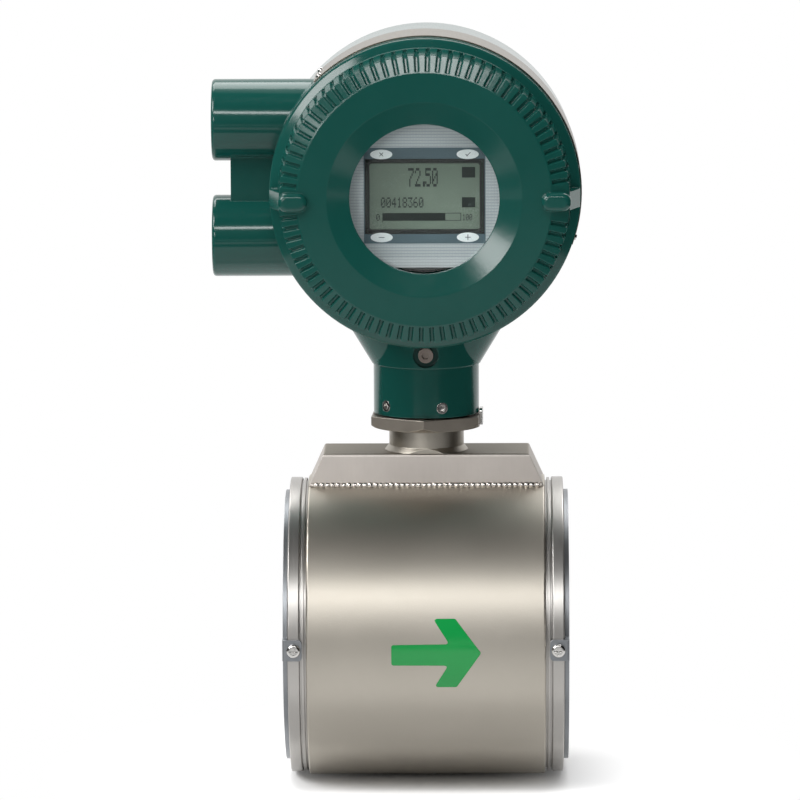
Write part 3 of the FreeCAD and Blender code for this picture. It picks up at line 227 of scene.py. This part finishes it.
# Finishes: colours are linear, roughness is a range
finishes = {
    "greenPaint": {
        "dark": (0.0030, 0.038, 0.031), "light": (0.0042, 0.045, 0.037), "edge": (0.008, 0.062, 0.051),
        "roughness": (0.10, 0.16), "grainScale": 260.0, "height": 0.16, "rounding": 0.0006,
        "plain": {"IOR": 1.43}},
    "sensorSteel": {
        "dark": (0.420, 0.390, 0.338), "light": (0.472, 0.440, 0.386), "edge": (0.56, 0.53, 0.48),
        "roughness": (0.37, 0.45), "grainScale": 1500.0, "height": 0.35, "rounding": 0.0004,
        "smudgeScale": 9.0, "plain": {"Metallic": 1.0}},
    "brushedSteel": {
        "dark": (0.53, 0.49, 0.455), "light": (0.64, 0.597, 0.558), "edge": (0.78, 0.74, 0.69),
        "roughness": (0.50, 0.62), "grainScale": 900.0, "stretch": (1.0, 1.0, 0.10), "height": 0.5,
        # the pedestal's upward faces are painted darker: painted shade on its top
        "rounding": 0.0004, "smudgeScale": 22.0, "paintedTopShade": (0.26, 0.235, 0.195), "paintedTopShadeRange": (0.5, 0.95),
        "plain": {"Metallic": 1.0}},
    "flangeSteel": {
        "dark": (0.33, 0.295, 0.250), "light": (0.42, 0.380, 0.330), "edge": (0.66, 0.61, 0.54),
        "roughness": (0.36, 0.46), "grainScale": 1100.0, "height": 0.3, "smudgeScale": 40.0,
        "rounding": 0.0003, "plain": {"Metallic": 1.0}},
    # painted shade: a darker, bluer copy of the turned steel that stands in for the shade on the earth
    # rings' recessed rims
    "earthSteelPaintedShade": {
        "dark": (0.22, 0.235, 0.25), "light": (0.31, 0.32, 0.335), "edge": (0.40, 0.40, 0.40),
        "roughness": (0.34, 0.44), "grainScale": 1100.0, "stretch": (1.0, 0.12, 0.12), "height": 0.3,
        "rounding": 0.0003, "plain": {"Metallic": 1.0}},
    "turnedSteel": {
        "dark": (0.40, 0.385, 0.365), "light": (0.47, 0.455, 0.435), "edge": (0.58, 0.56, 0.54),
        "roughness": (0.30, 0.40), "grainScale": 1100.0, "stretch": (1.0, 0.12, 0.12), "height": 0.3,
        "rounding": 0.0003, "plain": {"Metallic": 1.0}},
    "brightSteel": {
        "dark": (0.58, 0.57, 0.55), "light": (0.70, 0.69, 0.67), "edge": (0.80, 0.79, 0.77),
        "roughness": (0.14, 0.24), "grainScale": 1600.0, "height": 0.15, "rounding": 0.0002,
        "smudgeScale": 60.0, "plain": {"Metallic": 1.0}},
    "socketSteel": {
        "dark": (0.22, 0.180, 0.155), "light": (0.32, 0.275, 0.245), "edge": (0.42, 0.38, 0.35),
        "roughness": (0.25, 0.38), "grainScale": 1600.0, "height": 0.2, "rounding": 0.0002,
        "smudgeScale": 80.0, "plain": {"Metallic": 1.0}},
    "bandSteel": {
        # the band's edges take a darker colour: painted shade along its borders
        "dark": (0.190, 0.170, 0.138), "light": (0.225, 0.203, 0.168), "edge": (0.12, 0.11, 0.10),
        "roughness": (0.26, 0.36), "grainScale": 1300.0, "stretch": (1.0, 0.08, 1.0), "height": 0.2,
        "rounding": 0.0002, "plain": {"Metallic": 1.0}},
    "bareAluminium": {
        "dark": (0.60, 0.61, 0.62), "light": (0.72, 0.73, 0.74), "roughness": (0.22, 0.34),
        "grainScale": 1200.0, "height": 0.2, "plain": {"Metallic": 1.0}},
    "magnetSteel": {
        "dark": (0.16, 0.16, 0.17), "light": (0.24, 0.24, 0.25), "roughness": (0.35, 0.5),
        "grainScale": 700.0, "height": 0.2, "plain": {"Metallic": 1.0}},
    "brassMetal": {
        "dark": (0.52, 0.37, 0.14), "light": (0.66, 0.50, 0.22), "roughness": (0.2, 0.32),
        "grainScale": 1200.0, "height": 0.15, "plain": {"Metallic": 1.0}},
    "copperWire": {
        "dark": (0.28, 0.07, 0.02), "light": (0.42, 0.13, 0.04), "roughness": (0.25, 0.4),
        "grainScale": 600.0, "stretch": (0.05, 0.05, 1.0), "height": 0.8, "plain": {"Coat Weight": 0.5}},
    "liningRubber": {
        "dark": (0.014, 0.014, 0.014), "light": (0.024, 0.024, 0.023), "roughness": (0.38, 0.55),
        "grainScale": 500.0, "height": 0.25},
    "sealRubber": {
        "dark": (0.010, 0.010, 0.010), "light": (0.018, 0.018, 0.018), "roughness": (0.45, 0.6),
        "grainScale": 900.0, "height": 0.2},
    "blackPlastic": {
        "dark": (0.011, 0.011, 0.011), "light": (0.018, 0.018, 0.018), "roughness": (0.35, 0.5),
        "grainScale": 1400.0, "height": 0.3},
    "whitePlastic": {
        "dark": (0.66, 0.65, 0.61), "light": (0.74, 0.73, 0.70), "roughness": (0.35, 0.5),
        "grainScale": 1400.0, "height": 0.2},
    "terminalPlastic": {
        "dark": (0.05, 0.17, 0.07), "light": (0.07, 0.23, 0.10), "roughness": (0.35, 0.5),
        "grainScale": 1200.0, "height": 0.3},
    "boardLacquer": {
        "dark": (0.012, 0.10, 0.035), "light": (0.020, 0.15, 0.055), "roughness": (0.2, 0.32),
        "grainScale": 400.0, "height": 0.3, "plain": {"Coat Weight": 0.4}},
    "panelPrint": {
        "dark": (0.066, 0.100, 0.122), "light": (0.078, 0.115, 0.139), "roughness": (0.3, 0.42),
        "grainScale": 1800.0, "height": 0.15, "rounding": 0.0001},
    "ovalPrint": {
        "dark": (0.72, 0.73, 0.75), "light": (0.80, 0.81, 0.83), "roughness": (0.35, 0.45),
        "grainScale": 1800.0, "height": 0.1, "rounding": 0.0001},
    "symbolPrint": {
        "dark": (0.10, 0.11, 0.13), "light": (0.14, 0.15, 0.17), "roughness": (0.4, 0.5),
        "grainScale": 1800.0, "height": 0.1, "rounding": 0.0001},
    "lcdInk": {
        "dark": (0.006, 0.010, 0.009), "light": (0.010, 0.016, 0.014), "roughness": (0.3, 0.4),
        "grainScale": 1500.0, "height": 0.05, "rounding": 0.0001},
    "lcdPanel": {
        "dark": (0.130, 0.160, 0.132), "light": (0.155, 0.185, 0.153), "roughness": (0.22, 0.3),
        "grainScale": 2200.0, "height": 0.1, "smudgeScale": 30.0, "rounding": 0.0001},
    "arrowGreen": {
        "dark": (0.0030, 0.182, 0.036), "light": (0.0040, 0.202, 0.041), "roughness": (0.10, 0.16),
        "grainScale": 500.0, "height": 0.1, "rounding": 0.0002},
    "weldBead": {
        "dark": (0.52, 0.48, 0.44), "light": (0.70, 0.66, 0.62), "edge": (0.80, 0.76, 0.72),
        "roughness": (0.16, 0.30), "grainScale": 700.0, "height": 0.3, "rounding": 0.0001,
        "smudgeScale": 120.0, "plain": {"Metallic": 1.0}},
}
materials = {name: finishMaterial(name, look) for name, look in finishes.items()}


glass = {
    "color": (0.93, 0.97, 0.96), "refraction": 1.46,
    "lightColor": (0.94, 0.97, 0.96),        # what the lamps' light takes on behind the window
}


def glassMaterial():
    material, tree, shader = newMaterial("windowGlass")
    shader.inputs["Base Color"].default_value = (*glass["color"], 1.0)
    shader.inputs["Roughness"].default_value = 0.0
    shader.inputs["IOR"].default_value = glass["refraction"]
    shader.inputs["Transmission Weight"].default_value = 1.0
    clear = addNode(tree, "ShaderNodeBsdfTransparent")
    clear.inputs["Color"].default_value = (*glass["lightColor"], 1.0)
    path = tree.nodes.new("ShaderNodeLightPath")
    blend = tree.nodes.new("ShaderNodeMixShader")
    lightOnly = mathNode(tree, "MAXIMUM", path.outputs["Is Shadow Ray"], path.outputs["Is Diffuse Ray"])
    tree.links.new(lightOnly, blend.inputs[0])
    tree.links.new(shader.outputs[0], blend.inputs[1])
    tree.links.new(clear.outputs[0], blend.inputs[2])
    tree.links.new(blend.outputs[0], tree.nodes["Material Output"].inputs["Surface"])
    return material


foil = {
    "pitch": 0.00126,                        # metres between the printed lines
    "lineDepth": {"X": 0.35, "Z": 1.0},      # upright lines are fainter than level ones
    "plainColor": (0.450, 0.465, 0.485), "lineColor": (0.335, 0.352, 0.375),
    "lineRange": (0.0, 0.8),                 # part of the wave over which a line fades in
    "roughness": (0.34, 0.46), "metallic": 0.35, "grainScale": 1500.0, "rounding": 0.0002,
}


def foilMaterial():
    # silver faceplate with a fine printed screen of lines
    material, tree, shader = newMaterial("faceplateFoil")
    place = tree.nodes.new("ShaderNodeTexCoord").outputs["Object"]
    split = addNode(tree, "ShaderNodeSeparateXYZ")
    tree.links.new(place, split.inputs[0])
    lines = []
    for axis, depth in foil["lineDepth"].items():
        phase = mathNode(tree, "MULTIPLY", split.outputs[axis], 2.0 * math.pi / foil["pitch"])
        wave = mathNode(tree, "SINE", phase)
        lines.append(mapRange(tree, wave, *foil["lineRange"], 0.0, depth))
    screen = mathNode(tree, "MAXIMUM", *lines, clamp=True)
    surface = placeGroup(tree, surfaceGroup,
                         **{"Grain Scale": foil["grainScale"], "Rounding": foil["rounding"]})
    base = mixColors(tree, screen, foil["plainColor"], foil["lineColor"])
    tree.links.new(base, shader.inputs["Base Color"])
    roughness = spreadNoise(tree, surface.outputs["Smudge"], *foil["roughness"])
    tree.links.new(roughness, shader.inputs["Roughness"])
    tree.links.new(surface.outputs["Normal"], shader.inputs["Normal"])
    shader.inputs["Metallic"].default_value = foil["metallic"]
    return material


materials["windowGlass"] = glassMaterial()
materials["faceplateFoil"] = foilMaterial()

nodeFinishes = {
    "greenPaint": ["converter_housing", "front_cover", "rear_cover"],
    "sensorSteel": ["sensor_shell", "neck_pipe"],
    "brushedSteel": ["pedestal"],
    "flangeSteel": ["neck_flange"],
    "earthSteelPaintedShade": ["inlet_earth_ring", "outlet_earth_ring"],
    "turnedSteel": ["measuring_tube", "inlet_flange_ring", "outlet_flange_ring", "electrodes"],
    "brightSteel": ["earth_ring_screws", "electrode_nuts", "stop_tab", "neck_set_screws", "nameplate_rivets",
                    "display_screws"],
    "socketSteel": ["cover_lock_screws"],
    "bandSteel": ["nameplate_band"],
    "bareAluminium": ["glass_retainer"],
    "magnetSteel": ["yoke_band", "pole_cores"],
    "brassMetal": ["board_standoffs", "board_feet", "terminal_screws", "earth_screw"],
    "copperWire": ["field_coils"],
    "liningRubber": ["lining"],
    "sealRubber": ["ring_gaskets", "neck_seal", "front_cover_seal", "rear_cover_seal", "window_gasket"],
    "blackPlastic": ["lcd_frame", "bezel_spacers", "power_module"],
    "whitePlastic": ["electrode_bushes"],
    "terminalPlastic": ["terminal_block"],
    "boardLacquer": ["display_board", "main_board"],
    "lcdPanel": ["lcd_glass"],
    "faceplateFoil": ["display_bezel"],
    "windowGlass": ["window_glass"],
}


def dressNodes():
    print("finishes on the CAD nodes")
    for finish, names in nodeFinishes.items():
        for name in names:
            mesh = nodes[name].data
            mesh.materials.clear()
            mesh.materials.append(materials[finish])


# Mesh pieces
def addPiece(name, bm, finish, body, smooth=True):
    bmesh.ops.recalc_face_normals(bm, faces=bm.faces)
    mesh = bpy.data.meshes.new(name)
    bm.to_mesh(mesh)
    bm.free()
    mesh.materials.append(materials[finish])
    for polygon in mesh.polygons:
        polygon.use_smooth = smooth
    piece = bpy.data.objects.new(name, mesh)
    bpy.context.scene.collection.objects.link(piece)
    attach(piece, body)


def roundedOutline(corners, radius, steps=5, mostReach=0.45):
    # corners in order, each turned into a short arc that takes at most that share of a side
    outline = []
    count = len(corners)
    for index, corner in enumerate(corners):
        here = Vector(corner)
        toBack = Vector(corners[index - 1]) - here
        toNext = Vector(corners[(index + 1) % count]) - here
        half = toBack.angle(toNext) / 2.0
        reach = min(radius / math.tan(half), mostReach * min(toBack.length, toNext.length))
        start = here + toBack.normalized() * reach
        end = here + toNext.normalized() * reach
        for step in range(steps + 1):
            t = step / steps
            outline.append((start * (1 - t) ** 2 + here * 2 * t * (1 - t) + end * t ** 2))
    return outline


arrow = {
    "corners": [(-14.6, 2.4), (9.9, 2.7), (3.0, 13.4), (12.4, 13.4), (23.3, -1.1), (12.9, -16.0),
                (3.5, -16.0), (9.4, -6.5), (-14.6, -6.4)],
    "cornerRadius": 1.1,
    "shellRadius": 64.5, "thickness": 0.10, "gap": 0.01,
    "strip": 0.8,                            # height of the strips that follow the round shell
}


def buildFlowArrow():
    print("flow arrow")
    bm = bmesh.new()
    outline = roundedOutline(arrow["corners"], arrow["cornerRadius"])
    face = bm.faces.new([bm.verts.new((p.x, 0, p.y)) for p in outline])
    low = min(p.y for p in outline)
    high = max(p.y for p in outline)
    level = low + arrow["strip"]
    while level < high:
        bmesh.ops.bisect_plane(bm, geom=bm.faces[:] + bm.edges[:] + bm.verts[:], plane_co=(0, 0, level),
                               plane_no=(0, 0, 1))
        level += arrow["strip"]
    bmesh.ops.triangulate(bm, faces=bm.faces[:])
    bottom = bm.faces[:]
    top = bmesh.ops.extrude_face_region(bm, geom=bottom)
    raised = {v for v in top["geom"] if isinstance(v, bmesh.types.BMVert)}
    for vert in bm.verts:
        radius = arrow["shellRadius"] + (arrow["thickness"] if vert in raised else arrow["gap"])
        vert.co.y = -math.sqrt(radius ** 2 - vert.co.z ** 2)
        vert.co *= mm
    addPiece("flow_arrow", bm, "arrowGreen", "sensor", smooth=False)


weld = {
    "halfLength": 49.4, "y": 16.0, "radius": 1.20, "shellRadius": 64.9, "pitch": 2.3, "ripple": 0.24,
    "swirl": 0.5,                            # mm that the crests lag at the bead's middle
    "wanderWidth": 0.07, "wanderHeight": 0.06, "wanderPoints": 80,
    "flatten": 0.95, "endTaper": 40.0, "endSize": 0.6,
    "steps": 540, "around": 14, "seed": 7,
}


def buildWeldBeads():
    print("weld beads")
    rng = random.Random(weld["seed"])
    height = math.sqrt(weld["shellRadius"] ** 2 - weld["y"] ** 2)
    for side, label in ((-1, "front"), (1, "back")):
        bm = bmesh.new()
        rows = []
        around = weld["around"]
        wander = [rng.uniform(-1, 1) for _ in range(weld["wanderPoints"])]
        for step in range(weld["steps"] + 1):
            t = step / weld["steps"]
            x = (2 * t - 1) * weld["halfLength"]
            slot = t * (len(wander) - 2)
            k = int(slot)
            drift = wander[k] + (wander[k + 1] - wander[k]) * (slot - k)
            row = []
            for index in range(around):
                angle = 2 * math.pi * index / around
                crest = math.pi * (x - weld["swirl"] * math.cos(angle) ** 2) / weld["pitch"]
                bulge = weld["radius"] + weld["ripple"] * abs(math.sin(crest)) + weld["wanderWidth"] * drift
                taper = min(1.0, weld["endTaper"] * min(t, 1 - t) + weld["endSize"])
                y = side * (weld["y"] + bulge * taper * math.cos(angle) * weld["flatten"])
                z = height + bulge * taper * math.sin(angle) + weld["wanderHeight"] * drift
                row.append(bm.verts.new((x * mm, y * mm, z * mm)))
            rows.append(row)
        for first, second in zip(rows, rows[1:]):
            for index in range(around):
                after = (index + 1) % around
                bm.faces.new((first[index], first[after], second[after], second[index]))
        bm.faces.new(rows[0])
        bm.faces.new(rows[-1])
        addPiece("weld_bead_" + label, bm, "weldBead", "sensor")


conduitThread = {
    "profile": ((-0.62, 9.32), (-0.09, 8.75), (0.09, 8.75), (0.62, 9.32)),      # along the hole, radius
    "pitch": 1.5, "startX": -88.6, "endX": -62.0, "around": 48,
    "heights": {"upper": 218.3, "lower": 168.7},
}


def buildConduitThreads():
    print("conduit threads")
    turns = int((conduitThread["endX"] - conduitThread["startX"]) / conduitThread["pitch"])
    around = conduitThread["around"]
    for label, height in conduitThread["heights"].items():
        bm = bmesh.new()
        rows = []
        for step in range(turns * around + 1):
            angle = 2 * math.pi * step / around
            x = conduitThread["startX"] + conduitThread["pitch"] * step / around
            row = []
            for offset, radius in conduitThread["profile"]:
                row.append(bm.verts.new(((x + offset) * mm, radius * math.cos(angle) * mm,
                                         (height + radius * math.sin(angle)) * mm)))
            rows.append(row)
        for first, second in zip(rows, rows[1:]):
            for index in range(len(first) - 1):
                bm.faces.new((first[index], first[index + 1], second[index + 1], second[index]))
        addPiece("conduit_thread_" + label, bm, "bareAluminium", "head")


# Print on the faceplate
display = {
    "bezelY": -38.6, "centreZ": 189.6,
    "panelHalfWidth": 25.6, "panelTop": 210.2, "panelBottom": 169.7, "panelDepth": 0.12,
    "frameHalfWidth": 24.3, "frameHalfHeight": 15.1,
    "borderHalfWidth": 25.2, "borderHalfHeight": 15.9, "borderRaise": 0.04,
    "ovalHalfWidth": 4.65, "ovalHalfHeight": 2.02, "ovalX": 18.15, "ovalZ": {"top": 207.4, "low": 172.3},
    "ovalRaise": 0.05, "ovalDepth": 0.06, "markRaise": 0.03, "markDepth": 0.04,
    "lcdY": -38.3, "inkDepth": 0.06, "inkRoot": 0.02,
    "dotFill": (0.99, 0.98),                 # dots all but touch, across and up
    "advance": 6.0, "pointAdvance": 3.2,     # from one numeral to the next, in dots
}

# Strokes of the key signs: side (-1 left, 1 right), row, offset x, offset z, half width, half height, turn
keyStrokes = [
    (-1, "top", 0, 0, 1.1, 0.16, 45), (-1, "top", 0, 0, 1.1, 0.16, -45),
    (1, "top", -0.45, -0.35, 0.65, 0.16, -45), (1, "top", 0.35, 0, 1.15, 0.16, 45),
    (-1, "low", 0, 0, 1.2, 0.17, 0), (1, "low", 0, 0, 1.2, 0.17, 0), (1, "low", 0, 0, 0.17, 1.2, 0)]


def extrudedFace(bm, outline, frontY, depth):
    # outline is a list of (x, z) in mm, thickened towards +Y
    face = bm.faces.new([bm.verts.new((x * mm, frontY * mm, z * mm)) for x, z in outline])
    grown = bmesh.ops.extrude_face_region(bm, geom=[face])
    for item in grown["geom"]:
        if isinstance(item, bmesh.types.BMVert):
            item.co.y += depth * mm


def rectangle(left, right, bottom, top):
    return [(left, bottom), (right, bottom), (right, top), (left, top)]


def printedFrame(name, outer, inner, front, depth, finish):
    bm = bmesh.new()
    for index in range(4):
        after = (index + 1) % 4
        extrudedFace(bm, [outer[index], outer[after], inner[after], inner[index]], front, depth)
    addPiece(name, bm, finish, "head", smooth=False)


def buildPanel():
    print("faceplate print")
    d = display
    front = d["bezelY"] - d["panelDepth"]
    middle = d["centreZ"]
    panel = rectangle(-d["panelHalfWidth"], d["panelHalfWidth"], d["panelBottom"], d["panelTop"])
    border = rectangle(-d["borderHalfWidth"], d["borderHalfWidth"], middle - d["borderHalfHeight"],
                       middle + d["borderHalfHeight"])
    opening = rectangle(-d["frameHalfWidth"], d["frameHalfWidth"], middle - d["frameHalfHeight"],
                        middle + d["frameHalfHeight"])
    printedFrame("faceplate_panel", panel, opening, front, d["panelDepth"], "panelPrint")
    front -= d["borderRaise"]
    printedFrame("display_border", border, opening, front, d["borderRaise"], "blackPlastic")


def ovalOutline(x, z, halfWidth, halfHeight, steps=40):
    turns = [2 * math.pi * index / steps for index in range(steps)]
    return [(x + halfWidth * math.cos(turn), z + halfHeight * math.sin(turn)) for turn in turns]


def stroke(x, z, halfWidth, halfHeight, degrees):
    corners = rectangle(-halfWidth, halfWidth, -halfHeight, halfHeight)
    c, s = math.cos(math.radians(degrees)), math.sin(math.radians(degrees))
    return [(x + a * c - b * s, z + a * s + b * c) for a, b in corners]


def buildKeys():
    print("key print")
    d = display
    front = d["bezelY"] - d["panelDepth"] - d["ovalRaise"]
    ovals = bmesh.new()
    for z in d["ovalZ"].values():
        for x in (-d["ovalX"], d["ovalX"]):
            outline = ovalOutline(x, z, d["ovalHalfWidth"], d["ovalHalfHeight"])
            extrudedFace(ovals, outline, front, d["ovalDepth"])
    addPiece("key_ovals", ovals, "ovalPrint", "head", smooth=False)
    marks = bmesh.new()
    for side, row, x, z, halfWidth, halfHeight, degrees in keyStrokes:
        outline = stroke(side * d["ovalX"] + x, d["ovalZ"][row] + z, halfWidth, halfHeight, degrees)
        extrudedFace(marks, outline, front - d["markRaise"], d["markDepth"])
    addPiece("key_symbols", marks, "symbolPrint", "head", smooth=False)


# Dots of each numeral, five wide and seven high
numerals = {
    "0": "01110 10001 10011 10101 11001 10001 01110",
    "1": "00100 01100 00100 00100 00100 00100 01110",
    "2": "01110 10001 00001 00010 00100 01000 11111",
    "3": "11111 00010 00100 00010 00001 10001 01110",
    "4": "00010 00110 01010 10010 11111 00010 00010",
    "5": "11111 10000 11110 00001 00001 10001 01110",
    "6": "00110 01000 10000 11110 10001 10001 01110",
    "7": "11111 00001 00010 00100 01000 01000 01000",
    "8": "01110 10001 10001 01110 10001 10001 01110",
    "9": "01110 10001 10001 01111 00001 00010 01100",
    ".": "00000 00000 00000 00000 00000 01100 01100",
}

reading = {
    "large": {"text": "72.50", "left": -6.9, "top": 201.6, "dotWidth": 0.475, "dotHeight": 1.13},
    "small": {"text": "00418360", "left": -18.4, "top": 189.2, "dotWidth": 0.38, "dotHeight": 0.62},
    "barLow": {"text": "0", "left": -20.4, "top": 182.1, "dotWidth": 0.30, "dotHeight": 0.39},
    "barHigh": {"text": "100", "left": 15.9, "top": 182.1, "dotWidth": 0.24, "dotHeight": 0.39},
}
barGauge = {"left": -17.8, "right": 15.3, "top": 182.6, "bottom": 179.3, "filled": 0.8, "line": 0.26,
            "foot": 178.6}
darkBoxes = [(15.7, 21.3, 197.5, 202.0), (15.7, 21.3, 184.9, 189.2)]


def buildReading():
    print("display reading")
    bm = bmesh.new()
    front = display["lcdY"] - display["inkDepth"]
    depth = display["inkDepth"] + display["inkRoot"]
    fillWide, fillHigh = display["dotFill"]
    for line in reading.values():
        wide, high = line["dotWidth"], line["dotHeight"]
        left = line["left"]
        for character in line["text"]:
            for row, dots in enumerate(numerals[character].split()):
                for column, dot in enumerate(dots):
                    if dot == "1":
                        x = left + column * wide
                        z = line["top"] - row * high
                        dotOutline = rectangle(x, x + wide * fillWide, z - high * fillHigh, z)
                        extrudedFace(bm, dotOutline, front, depth)
            left += wide * display["pointAdvance" if character == "." else "advance"]
    g = barGauge
    split = g["left"] + (g["right"] - g["left"]) * g["filled"]
    extrudedFace(bm, rectangle(g["left"], split, g["bottom"], g["top"]), front, depth)
    extrudedFace(bm, rectangle(split, g["right"], g["top"] - g["line"], g["top"]), front, depth)
    extrudedFace(bm, rectangle(split, g["right"], g["bottom"], g["bottom"] + g["line"]), front, depth)
    extrudedFace(bm, rectangle(g["right"] - g["line"], g["right"], g["bottom"], g["top"]), front, depth)
    extrudedFace(bm, rectangle(g["left"], g["left"] + g["line"], g["foot"], g["bottom"]), front, depth)
    for left, right, bottom, top in darkBoxes:
        extrudedFace(bm, rectangle(left, right, bottom, top), front, depth)
    addPiece("lcd_reading", bm, "lcdInk", "head", smooth=False)


# Studio
studio = {
    "floorZ": -0.0646,
    "floorHalf": 20.0,
    "floorColor": (0.86, 0.86, 0.86), "floorRoughness": 0.9,
    "fadeStart": 0.065, "fadeEnd": 0.18,      # metres from the object, where the floor turns plain white
    "worldFill": 0.60,
    "dome": {"radius": 3.0, "turn": 125, "low": -2, "high": 86, "middle": 0.05, "across": 24, "up": 16,
             "grey": 0.012},                 # turn to each side, low and high in degrees
    "cardLift": 0.0005,
    "floorCards": {                          # left, right, front, back, grey value
        "farFront": (-3.0, 3.0, -3.0, -1.95, 0.012), "nearFront": (-3.0, 3.0, -1.55, -1.00, 0.012),
        "dishFront": (-3.0, 3.0, -0.72, -0.47, 0.012),
        "left": (-3.0, -0.45, -1.00, 0.70, 0.012), "right": (0.45, 3.0, -1.00, 0.70, 0.012),
        # foot: a mid grey card in front of the shell's foot, seen in reflections only, painted shade that
        # stands in for a larger contact shadow on the floor
        "foot": (-0.5, 0.5, -0.095, -0.045, 0.50)},
    "aim": (0, 0, 0.1),                      # where the lamps point, turned by azimuth and elevation
    "lamps": {
        "leftKey": {"azimuth": -60, "elevation": 38, "distance": 1.7, "size": (0.8, 0.8), "power": 24.0},
        "frontStrip": {"azimuth": -4, "elevation": 29, "distance": 2.1, "size": (1.5, 0.20), "power": 13.0,
                       "diffuse": False},
        "topFront": {"azimuth": -12, "elevation": 66, "distance": 1.7, "size": (0.6, 0.5), "power": 17.0,
                     "glossy": False},
        "frontLeft": {"azimuth": -20, "elevation": 11, "distance": 2.1, "size": (0.60, 0.30), "power": 7.0,
                      "diffuse": False},
        "backTop": {"azimuth": 180, "elevation": 62, "distance": 1.6, "size": (1.8, 0.9), "power": 24.0},
    },
}


def addLamps():
    print("lamps")
    aim = Vector(studio["aim"])
    for name, lamp in studio["lamps"].items():
        data = bpy.data.lights.new(name, "AREA")
        data.shape = "RECTANGLE"
        data.size, data.size_y = lamp["size"]
        data.energy = lamp["power"]
        light = bpy.data.objects.new(name, data)
        bpy.context.scene.collection.objects.link(light)
        a, e = math.radians(lamp["azimuth"]), math.radians(lamp["elevation"])
        away = Vector((math.sin(a) * math.cos(e), -math.cos(a) * math.cos(e), math.sin(e)))
        light.location = aim + away * lamp["distance"]
        light.rotation_euler = away.to_track_quat("Z", "Y").to_euler()
        light.visible_camera = False
        light.visible_diffuse = lamp.get("diffuse", True)
        light.visible_glossy = lamp.get("glossy", True)


def seenWhite(tree):
    # 1 where the camera sees the surroundings, directly, mirrored or through glass
    path = tree.nodes.new("ShaderNodeLightPath")
    seen = mathNode(tree, "MAXIMUM", path.outputs["Is Camera Ray"], path.outputs["Is Glossy Ray"])
    return mathNode(tree, "MAXIMUM", seen, path.outputs["Is Transmission Ray"])


def addWorld():
    print("world")
    world = bpy.data.worlds.new("studio")
    world.use_nodes = True
    tree = world.node_tree
    background = tree.nodes["Background"]
    strength = mapRange(tree, seenWhite(tree), 0.0, 1.0, studio["worldFill"], 1.0)
    tree.links.new(strength, background.inputs["Strength"])
    background.inputs["Color"].default_value = (1.0, 1.0, 1.0, 1.0)
    bpy.context.scene.world = world


def plainMesh(name, verts, faces, material):
    mesh = bpy.data.meshes.new(name)
    mesh.from_pydata(verts, [], faces)
    mesh.materials.append(material)
    thing = bpy.data.objects.new(name, mesh)
    bpy.context.scene.collection.objects.link(thing)
    return thing


def matteMaterial(name, color, roughness):
    material, tree, shader = newMaterial(name)
    shader.inputs["Base Color"].default_value = (*color, 1.0)
    shader.inputs["Roughness"].default_value = roughness
    shader.inputs["Specular IOR Level"].default_value = 0.0
    return material, tree, shader


def addFloor():
    print("floor")
    material, tree, shader = matteMaterial("paleFloor", studio["floorColor"], studio["floorRoughness"])
    place = tree.nodes.new("ShaderNodeTexCoord").outputs["Object"]
    length = addNode(tree, "ShaderNodeVectorMath", operation="LENGTH")
    tree.links.new(place, length.inputs[0])
    fade = tree.nodes.new("ShaderNodeMapRange")
    fade.interpolation_type = "SMOOTHSTEP"
    tree.links.new(length.outputs["Value"], fade.inputs["Value"])
    fade.inputs["From Min"].default_value = studio["fadeStart"]
    fade.inputs["From Max"].default_value = studio["fadeEnd"]
    white = addNode(tree, "ShaderNodeEmission", Strength=1.0)
    blend = tree.nodes.new("ShaderNodeMixShader")
    tree.links.new(mathNode(tree, "MULTIPLY", fade.outputs["Result"], seenWhite(tree)), blend.inputs[0])
    tree.links.new(shader.outputs[0], blend.inputs[1])
    tree.links.new(white.outputs[0], blend.inputs[2])
    tree.links.new(blend.outputs[0], tree.nodes["Material Output"].inputs["Surface"])
    h, z = studio["floorHalf"], studio["floorZ"]
    plainMesh("studioFloor", [(-h, -h, z), (h, -h, z), (h, h, z), (-h, h, z)], [(0, 1, 2, 3)], material)


def addCard(name, verts, faces, grey):
    # seen in reflections and through glass only
    material = matteMaterial(name, (grey, grey, grey), 1.0)[0]
    card = plainMesh(name, verts, faces, material)
    card.visible_camera = False
    card.visible_diffuse = False
    card.visible_shadow = False


def addDarkCards():
    # a dome in front and to both sides, and cards on the floor
    print("dark cards")
    dome = studio["dome"]
    verts, faces = [], []
    radius, across, up = dome["radius"], dome["across"], dome["up"]
    for row in range(up + 1):
        e = math.radians(dome["low"] + (dome["high"] - dome["low"]) * row / up)
        for column in range(across + 1):
            a = math.radians(dome["turn"] * (2 * column / across - 1))
            verts.append((radius * math.sin(a) * math.cos(e), -radius * math.cos(a) * math.cos(e),
                          dome["middle"] + radius * math.sin(e)))
    for row in range(up):
        for column in range(across):
            first = row * (across + 1) + column
            faces.append((first, first + 1, first + across + 2, first + across + 1))
    addCard("frontCard", verts, faces, dome["grey"])
    z = studio["floorZ"] + studio["cardLift"]
    for name, (left, right, front, back, grey) in studio["floorCards"].items():
        corners = [(left, front, z), (right, front, z), (right, back, z), (left, back, z)]
        addCard(name + "Card", corners, [(0, 1, 2, 3)], grey)


addCamera()
dressNodes()
buildFlowArrow()
buildWeldBeads()
buildConduitThreads()
buildPanel()
buildKeys()
buildReading()
addLamps()
addWorld()
addFloor()
addDarkCards()
bpy.context.scene.view_settings.view_transform = "Standard"


print("done")
